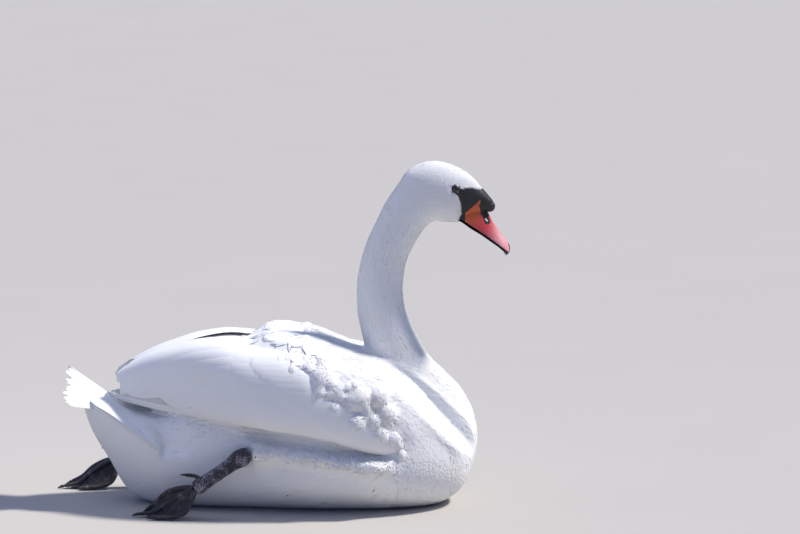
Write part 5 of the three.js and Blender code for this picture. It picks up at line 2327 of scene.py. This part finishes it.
    def face(self) -> bpy.types.Object:
        """Makes the bare skin between the eyes and the bill, on both sides.

        Returns:
            The bare face.
        """
        along = np.arange(8.0, 89.0, 0.8)
        angle = 220
        rings = self.head.rings(along, angle, grow=-self.face_sink)
        points = to_frame(rings)
        at, up = self.head.local(points)
        inside = self.head.in_bare(at, up, 0.6)
        count = len(along)
        i, j = np.meshgrid(np.arange(count - 1), np.arange(angle), indexing="ij")
        nxt = (j + 1) % angle
        quads = np.stack(
            [i * angle + j, i * angle + nxt, (i + 1) * angle + nxt, (i + 1) * angle + j], -1,
        ).reshape(-1, 4)
        keep = inside.ravel()[quads].all(1)
        obj = make_object("bare_face", points.reshape(-1, 3), [quads[keep]])
        self.thicken(obj, self.face_depth)
        return obj

    @staticmethod
    def thicken(obj: bpy.types.Object, depth: float) -> None:
        """Gives an open sheet a thickness inwards and drops its loose vertices.

        Args:
            obj: the sheet.
            depth: its thickness, in millimetres.
        """
        work = bmesh.new()
        work.from_mesh(obj.data)
        bmesh.ops.delete(work, geom=[v for v in work.verts if not v.link_faces], context="VERTS")
        centre = Vector(to_frame(np.array(HEAD_MIDDLE)))
        outside = sum((f.normal.dot(f.calc_center_median() - centre) > 0) for f in work.faces)
        if outside < len(work.faces) / 2:
            bmesh.ops.reverse_faces(work, faces=work.faces)
        work.to_mesh(obj.data)
        work.free()
        wall = obj.modifiers.new("Wall", "SOLIDIFY")
        wall.thickness, wall.offset = depth * MM, -1
        bake_modifiers(obj)
        smooth(obj)

    def knob(self) -> bpy.types.Object:
        """Makes the knob over the bill's base.

        Returns:
            The knob.
        """
        points, polygons = self.ball(*self.head.knob_radii, 48, 32)
        rng = np.random.default_rng(5)
        for _ in range(7):
            way = unit(rng.normal(0, 1, 3))
            near = np.clip((unit(points) @ way - 0.75) / 0.25, 0, 1)
            points = points * (1 + 0.05 * near[:, None])
        turned = pitched(points, self.head.pitch)
        centre = self.head.place(np.array(self.head.knob[0]), np.array(0.0), np.array(self.head.knob[1]))
        placed = to_frame(turned + centre)
        return make_object("knob_piece", placed, outward(placed, polygons))

    def eye(self, name: str, side: float) -> tuple[bpy.types.Object, bpy.types.Object]:
        """Makes an eye and the lids round it.

        Args:
            name: right or left.
            side: -1 for the right, 1 for the left.

        Returns:
            The eyeball, and the lids.
        """
        along, up, out = self.head.eye
        centre = self.head.place(np.array(along), np.array(side * out), np.array(up))
        points, polygons = self.ball(
            self.head.eye_radius, self.head.eye_radius, self.head.eye_radius, 32, 20,
        )
        placed = to_frame(points + centre)
        ball = make_object(f"eyeball_{name}", placed, outward(placed, polygons))
        turn = math.radians(self.head.pitch) + self.lid_turn
        out_way = unit(np.array([0.30, side * 1.0, 0.16]))
        level = np.array([math.cos(turn), 0, -math.sin(turn)])
        ahead = unit(level - out_way * (level @ out_way))
        over = np.cross(ahead, out_way)
        round_ = np.linspace(0, 2 * math.pi, 48, endpoint=False)
        almond = 1 + 0.24 * np.abs(np.cos(round_)) ** 5
        reach, rise = self.lid_reach
        ring = (
            np.cos(round_)[:, None] * ahead * reach * almond[:, None]
            + np.sin(round_)[:, None] * over * rise
        )
        lift = np.sqrt(np.maximum(self.head.eye_radius**2 - (ring**2).sum(1), 16.0))
        middle = centre + ring + out_way * (lift[:, None] + 0.1)
        thick = np.linspace(0, 2 * math.pi, 12, endpoint=False)
        radial = unit(ring)
        wide, high = self.lid_section
        round_edge = (
            radial[:, None] * np.cos(thick)[None, :, None] * wide
            + out_way * np.sin(thick)[None, :, None] * high
        )
        tube = middle[:, None] + round_edge
        i, j = np.meshgrid(np.arange(48), np.arange(12), indexing="ij")
        quads = np.stack(
            [i * 12 + j, (i + 1) % 48 * 12 + j, (i + 1) % 48 * 12 + (j + 1) % 12, i * 12 + (j + 1) % 12], -1
        ).reshape(-1, 4)
        flat = to_frame(tube.reshape(-1, 3))
        lids = make_object(f"eyelids_{name}", flat, outward(flat - flat.mean(0), [quads]))
        return ball, lids


# ---------------------------------------------------------------- legs


@dataclass
class Leg:
    """One leg: its bare shank, webbed foot and claws. Rows are x, y outwards and z, in millimetres."""

    name: str
    tarsus: tuple
    toes: dict
    hind: tuple
    toe_radii: tuple = (6.4, 5.6, 5.2, 4.6, 3.6)
    hind_radii: tuple = (3.4, 3.2, 2.6)
    flattening: float = 0.82
    web: float = 1.7
    claw_length: float = 11.0
    claw_radius: float = 2.9

    @property
    def side(self) -> float:
        """-1 for the right leg, 1 for the left."""
        return SIDES[self.name]

    def tube(
        self, rows: Sequence, rings: int, sides: int, exponent: float = 2.0,
    ) -> tuple[Array, list[Array]]:
        """A closed tube along rows on this leg's side.

        Args:
            rows: lines of x, y outwards, z and two radii.
            rings: how many rings.
            sides: points in a ring.
            exponent: how square the section is; 2 is round.

        Returns:
            Its points, and its faces.
        """
        found = np.asarray(limb(mirrored(rows, self.side), rings, sides, exponent))
        found[..., 2] = np.maximum(found[..., 2], 0.15)
        points, polygons = loft(to_frame(found))
        return points, outward(points, polygons)

    def toe_rows(self, name: str) -> list[tuple]:
        """A toe's points with their radii, which narrow towards the tip."""
        return [(*p, r, r * self.flattening) for p, r in zip(self.toes[name], self.toe_radii)]

    def shank(self) -> bpy.types.Object:
        """Makes the bare shank from the hock to the foot."""
        points, polygons = self.tube(self.tarsus, 60, 36, 2.2)
        return make_object(f"shank_bare_{self.name}", points, polygons)

    def hind_toe(self) -> bpy.types.Object:
        """Makes the small toe behind."""
        points, polygons = self.tube([(*p, r, r) for p, r in zip(self.hind, self.hind_radii)], 16, 16)
        return make_object(f"hind_toe_{self.name}", points, polygons)

    def foot(self) -> bpy.types.Object:
        """Makes the three front toes and the webs between them as one skin.

        Returns:
            The foot.
        """
        parts = [self.tube(self.toe_rows(name), 44, 20) for name in ("outer", "middle", "inner")]
        parts += [self.web_between("outer", "middle"), self.web_between("middle", "inner")]
        obj = make_object(f"webbed_foot_{self.name}", *gathered(parts))
        join = obj.modifiers.new("Join", "REMESH")
        join.mode, join.voxel_size = "VOXEL", 0.75 * MM
        soft = obj.modifiers.new("Soft", "CORRECTIVE_SMOOTH")
        soft.iterations, soft.factor, soft.use_only_smooth = 4, 0.5, True
        bake_modifiers(obj)
        smooth(obj)
        return obj

    def web_between(self, first: str, second: str) -> tuple[Array, list[Array]]:
        """Makes the web between two toes, folded in shallow pleats.

        Args:
            first: one toe's name.
            second: the next toe's name.

        Returns:
            Its points, and its faces.
        """
        steps, across = 36, 21
        walk = np.linspace(0.06, 1.0, steps)
        lines = []
        for name in (first, second):
            rows = np.array(mirrored(self.toes[name], self.side), float)
            far = np.concatenate([[0], np.cumsum(np.linalg.norm(np.diff(rows, axis=0), axis=1))])
            lines.append(read_table(np.column_stack([far / far[-1], rows]), walk))
        t = np.linspace(0, 1, across)
        sheet = lines[0][:, None] * (1 - t[None, :, None]) + lines[1][:, None] * t[None, :, None]
        sag = 4 * t * (1 - t)
        sheet[..., 0] += 13.0 * sag * (walk[:, None] ** 5)
        width = np.linalg.norm(lines[0] - lines[1], axis=1)[:, None]
        pleats = (
            np.sin(t[None] * math.pi * 5) * 0.055 * np.minimum(width, 24) * sag
            * smoothstep(0.05, 0.4, walk)[:, None]
        )
        sheet[..., 2] += pleats - sag * 1.2
        sheet[..., 2] = np.maximum(sheet[..., 2], self.web / 2 + 0.15)
        du, dv = np.gradient(sheet, axis=0), np.gradient(sheet, axis=1)
        normal = unit(np.cross(du, dv)) * self.web / 2
        upper, lower = sheet + normal, sheet - normal
        rings = np.concatenate([upper, lower[:, ::-1]], 1)
        points, polygons = loft(to_frame(rings))
        points[:, 2] = np.maximum(points[:, 2], 0.15 * MM)
        return points, outward(points, polygons)

    def claws(self) -> bpy.types.Object:
        """Makes the four claws as one piece.

        Returns:
            The claws.
        """
        parts = []
        for name, toe in (*self.toes.items(), ("hind", self.hind)):
            scale = 0.7 if name == "hind" else 1.0
            end, before = np.array(toe[-1], float), np.array(toe[-2], float)
            ahead = unit(end - before)
            rows = []
            for t, r in zip((0, 0.25, 0.5, 0.75, 1), (1, 0.93, 0.76, 0.5, 0.22)):
                radius = self.claw_radius * scale * r
                spot = end + ahead * (t * self.claw_length * scale)
                spot[2] = max(spot[2] - t * t * 1.6 * scale, radius + 0.15)
                rows.append((*spot, radius, radius))
            parts.append(self.tube(rows, 12, 12))
        return make_object(f"claws_{self.name}", *gathered(parts))

    def build(
        self, skin: bpy.types.Material, wear_and_highlight: bpy.types.Material, horn: bpy.types.Material, studs: Studs,
        seed: int,
    ) -> None:
        """Makes and dresses the leg.

        Args:
            skin: the leg's finish.
            wear_and_highlight: the scales' finish.
            horn: the claws' finish.
            studs: the maker of scales.
            seed: the source of chance.
        """
        shank = self.shank()
        dress(shank, skin, "leg_skin", f"tarsus_{self.name}")
        scales = studs.over(f"shank_scales_{self.name}", shank, 2.6 * MM, 3.2 * MM, 1.1 * MM, seed, wear_and_highlight)
        dress(scales, wear_and_highlight, "leg_skin", f"tarsus_{self.name}")
        dress(self.hind_toe(), skin, "leg_skin", f"tarsus_{self.name}")
        dress(self.foot(), skin, "leg_skin", f"foot_{self.name}")
        nodes = [f"claw_{self.name}_{toe}" for toe in ("outer", "middle", "inner", "hind")]
        dress(self.claws(), horn, "claw", *nodes)


RIGHT_LEG = Leg(
    "right",
    ((-61, 145, 99, 9, 11), (-68, 147, 100, 13, 15), (-78, 149, 97, 12.4, 14.5), (-90, 152, 89, 9.6, 12),
     (-108, 157, 77, 8.2, 11), (-127, 162, 65, 8.8, 11.5), (-141, 165, 56, 11, 12.5),
     (-149, 166, 51, 9.5, 10)),
    {"outer": ((-150, 168, 50), (-156, 172, 30), (-168, 174, 12), (-190, 173, 5.5), (-216, 171, 5)),
     "middle": ((-150, 165, 51), (-168, 160, 42), (-192, 154, 26), (-218, 148, 9), (-243, 143, 5)),
     "inner": ((-149, 162, 52), (-167, 151, 50), (-192, 139, 42), (-215, 129, 22), (-232, 120, 5.5))},
    ((-138, 160, 66), (-152, 156, 71), (-166, 154, 72)),
)
LEFT_LEG = Leg(
    "left",
    ((-205, 118, 86, 9, 11), (-212, 119, 87, 13, 15), (-222, 119, 84, 12.4, 14.5), (-235, 118, 78, 9.6, 12),
     (-254, 117, 70, 8.2, 11), (-273, 116, 61, 8.8, 11.5), (-287, 115, 54, 11, 12.5),
     (-295, 114, 50, 9.5, 10)),
    {"outer": ((-296, 116, 49), (-312, 125, 44), (-334, 133, 32), (-354, 139, 14), (-372, 143, 5)),
     "middle": ((-296, 113, 49), (-313, 110, 42), (-336, 107, 27), (-360, 104, 9), (-382, 102, 5)),
     "inner": ((-295, 110, 48), (-295, 102, 30), (-304, 96, 12), (-326, 90, 5.5), (-348, 85, 5))},
    ((-284, 110, 64), (-298, 106, 69), (-311, 104, 70)),
)


# ---------------------------------------------------------------- the stage


@dataclass(frozen=True)
class Stage:
    """The floor, the lights and the camera. Lengths in metres, angles in degrees."""

    target: tuple[float, float, float] = (0.1988, 0.0, 0.3916)
    lens: float = 200.0
    seen_width: float = 1.32
    elevation: float = 8.0
    floor_radius: float = 60.0
    key_from: tuple[float, float, float] = (0.60, 0.10, 0.79)
    key_power: float = 4.5
    key_softness: float = 7.0
    fill: tuple[float, float, float] = (0.33, 0.48, 1.0)
    fill_power: float = 0.44
    box_from: tuple[float, float, float] = (-0.50, -0.10, 0.86)
    box_away: float = 1.6
    box_size: float = 0.9
    box_power: float = 4.0

    def soft_box(self, scene: bpy.types.Scene) -> None:
        """Hangs a large soft lamp above and behind the bird, pointed at its middle.

        Args:
            scene: the scene that takes the lamp.
        """
        lamp = bpy.data.lights.new("soft_box", "AREA")
        lamp.energy, lamp.color, lamp.size = self.box_power, (1.0, 0.965, 0.91), self.box_size
        held = bpy.data.objects.new("soft_box", lamp)
        way = Vector(self.box_from).normalized()
        held.location = Vector((0, 0, 0.15)) + way * self.box_away
        held.rotation_euler = way.to_track_quat("Z", "Y").to_euler()
        scene.collection.objects.link(held)

    def build(self) -> None:
        """Sets up the stage."""
        scene = bpy.context.scene
        scene.view_settings.view_transform = "Standard"
        camera = bpy.data.cameras.new("camera")
        camera.lens, camera.sensor_width, camera.sensor_fit = self.lens, 36.0, "HORIZONTAL"
        camera.clip_end = 200.0
        seen = bpy.data.objects.new("camera", camera)
        away, lift = self.lens / 36.0 * self.seen_width, math.radians(self.elevation)
        seen.location = Vector(self.target) + Vector((0, -math.cos(lift), math.sin(lift))) * away
        seen.rotation_euler = (math.pi / 2 - lift, 0, 0)
        scene.collection.objects.link(seen)
        scene.camera = seen
        sun = bpy.data.lights.new("key", "SUN")
        sun.energy, sun.angle, sun.color = self.key_power, math.radians(self.key_softness), (1.0, 0.965, 0.91)
        key = bpy.data.objects.new("key", sun)
        key.rotation_euler = Vector(self.key_from).to_track_quat("Z", "Y").to_euler()
        scene.collection.objects.link(key)
        self.soft_box(scene)
        world = bpy.data.worlds.new("world")
        world.use_nodes = True
        sky = world.node_tree.nodes["Background"]
        sky.inputs[0].default_value, sky.inputs[1].default_value = (*self.fill, 1), self.fill_power
        scene.world = world
        angle = np.linspace(0, 2 * math.pi, 96, endpoint=False)
        rings = (
            [np.zeros((1, 3))]
            + [
                np.stack([r * np.cos(angle), r * np.sin(angle), 0 * angle], -1)
                for r in (1, 8, self.floor_radius)
            ]
        )
        j = np.arange(96)
        tris = np.stack([np.zeros(96, int), 1 + j, 1 + (j + 1) % 96], -1)
        quads = np.concatenate(
            [
                np.stack(
                    [
                        1 + k * 96 + j, 1 + (k + 1) * 96 + j, 1 + (k + 1) * 96 + (j + 1) % 96,
                        1 + k * 96 + (j + 1) % 96
                    ], -1,
                ) for k in (0, 1)
            ]
        )
        floor = make_object("floor", np.concatenate(rings), [tris, quads])
        floor.data.materials.append(FloorFinish().build())


def facing(vanes: Array, up: Array) -> Array:
    """Turns feathers so that their upper side faces a direction.

    Args:
        vanes: vertices, as feather, station, column, xyz.
        up: that direction, for all or for each.

    Returns:
        The same feathers, with columns turned round where they faced away.
    """
    middle = vanes.shape[1] // 2
    across = vanes[:, middle, -1] - vanes[:, middle, 0]
    ahead = vanes[:, -1].mean(1) - vanes[:, 0].mean(1)
    wrong = (np.cross(across, ahead) * up).sum(-1) < 0
    vanes = vanes.copy()
    vanes[wrong] = vanes[wrong][:, :, ::-1]
    return vanes


def main() -> None:
    """Builds the bird in order."""
    logging.basicConfig(level=logging.INFO, format="%(name)s: %(message)s")
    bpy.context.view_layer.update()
    Stage().build()
    head = HeadForm()
    forms = BodyForms(head)
    coat = Coat(forms)
    plumage = FeatherFinish().build()
    stiff = FeatherFinish("flight_plumage", cream=(0.80, 0.78, 0.72), roughness=0.6).build()
    horn = BillFinish(head).build()
    black = SkinFinish("bare_skin", (0.012, 0.012, 0.014), (0.03, 0.028, 0.032), roughness=0.42).build()
    # the grey on the scales' middles is partly wear, partly a painted highlight
    leg_skin = SkinFinish(
        "leg_skin", (0.022, 0.020, 0.023), (0.20, 0.185, 0.215), roughness=0.36, scaly=True,
    ).build()
    # the scales' pale grey-lilac patches are a painted highlight on their tops
    leg_scales = SkinFinish(
        "leg_scales", (0.05, 0.046, 0.056), (0.34, 0.33, 0.41), wear_and_highlight_range=(0.40, 0.62),
    ).build()
    claw = SkinFinish("claw_horn", (0.03, 0.027, 0.025), (0.10, 0.09, 0.08), roughness=0.3).build()

    flesh = [
        "head", "neck_lower", "neck_middle", "neck_upper", "trunk", "uppertail_coverts",
        "undertail_coverts",
        "shank_right", "shank_left", *(f"wing_{s}_{p}" for s in SIDES for p in ("scapulars", "shoulder")),
    ]
    dress(coat.skin(), plumage, "body_plumage", *flesh)

    small = BodyCoat(coat)
    for name, made, nodes in (
        ("coat_head", small.head(), ("head",)),
        ("coat_neck", small.neck(), ("neck_lower", "neck_middle", "neck_upper")),
        ("coat_body", small.body(), ("trunk",)),
        ("coat_flank_fluff", small.fluff(), ("trunk",)),
        ("coat_wing_coverts", small.wing(), ("wing_right_shoulder", "wing_left_shoulder")),
        ("coat_scapulars", small.scapulars(), ("wing_right_scapulars", "wing_left_scapulars")),
        ("coat_tail_coverts", small.tail(), ("uppertail_coverts", "undertail_coverts")),
    ):
        for obj in made.pieces(name):
            dress(obj, plumage, "body_plumage", *nodes)
    for side, made in WingQuills(coat).build().items():
        nodes = [f"wing_{side}_{p}" for p in ("secondaries", "greater_coverts", "tertials", "primaries")]
        for obj in made.pieces(f"quills_{side}"):
            dress(obj, stiff, "flight_plumage", *nodes)
    for obj in TailFan(coat).build().pieces("tail_fan"):
        dress(obj, stiff, "flight_plumage", "tail_feathers")

    parts = BillParts(head)
    upper, lower, nail = parts.bill()
    dress(upper, horn, "bill", "bill_upper")
    dress(lower, black, "lower_bill", "bill_lower")
    dress(nail, claw, "bill_nail", "bill_nail")
    dress(parts.face(), horn, "bare_black_skin", "lores")
    dress(parts.knob(), black, "bare_black_skin", "knob")
    wet = EyeFinish().build()
    for name, side in SIDES.items():
        ball, lids = parts.eye(name, side)
        dress(ball, wet, "eye", f"eye_{name}")
        dress(lids, black, "bare_black_skin", f"eye_{name}")

    studs = Studs()
    for seed, leg in enumerate((RIGHT_LEG, LEFT_LEG)):
        leg.build(leg_skin, leg_scales, claw, studs, seed)


if __name__ == "__main__":
    main()
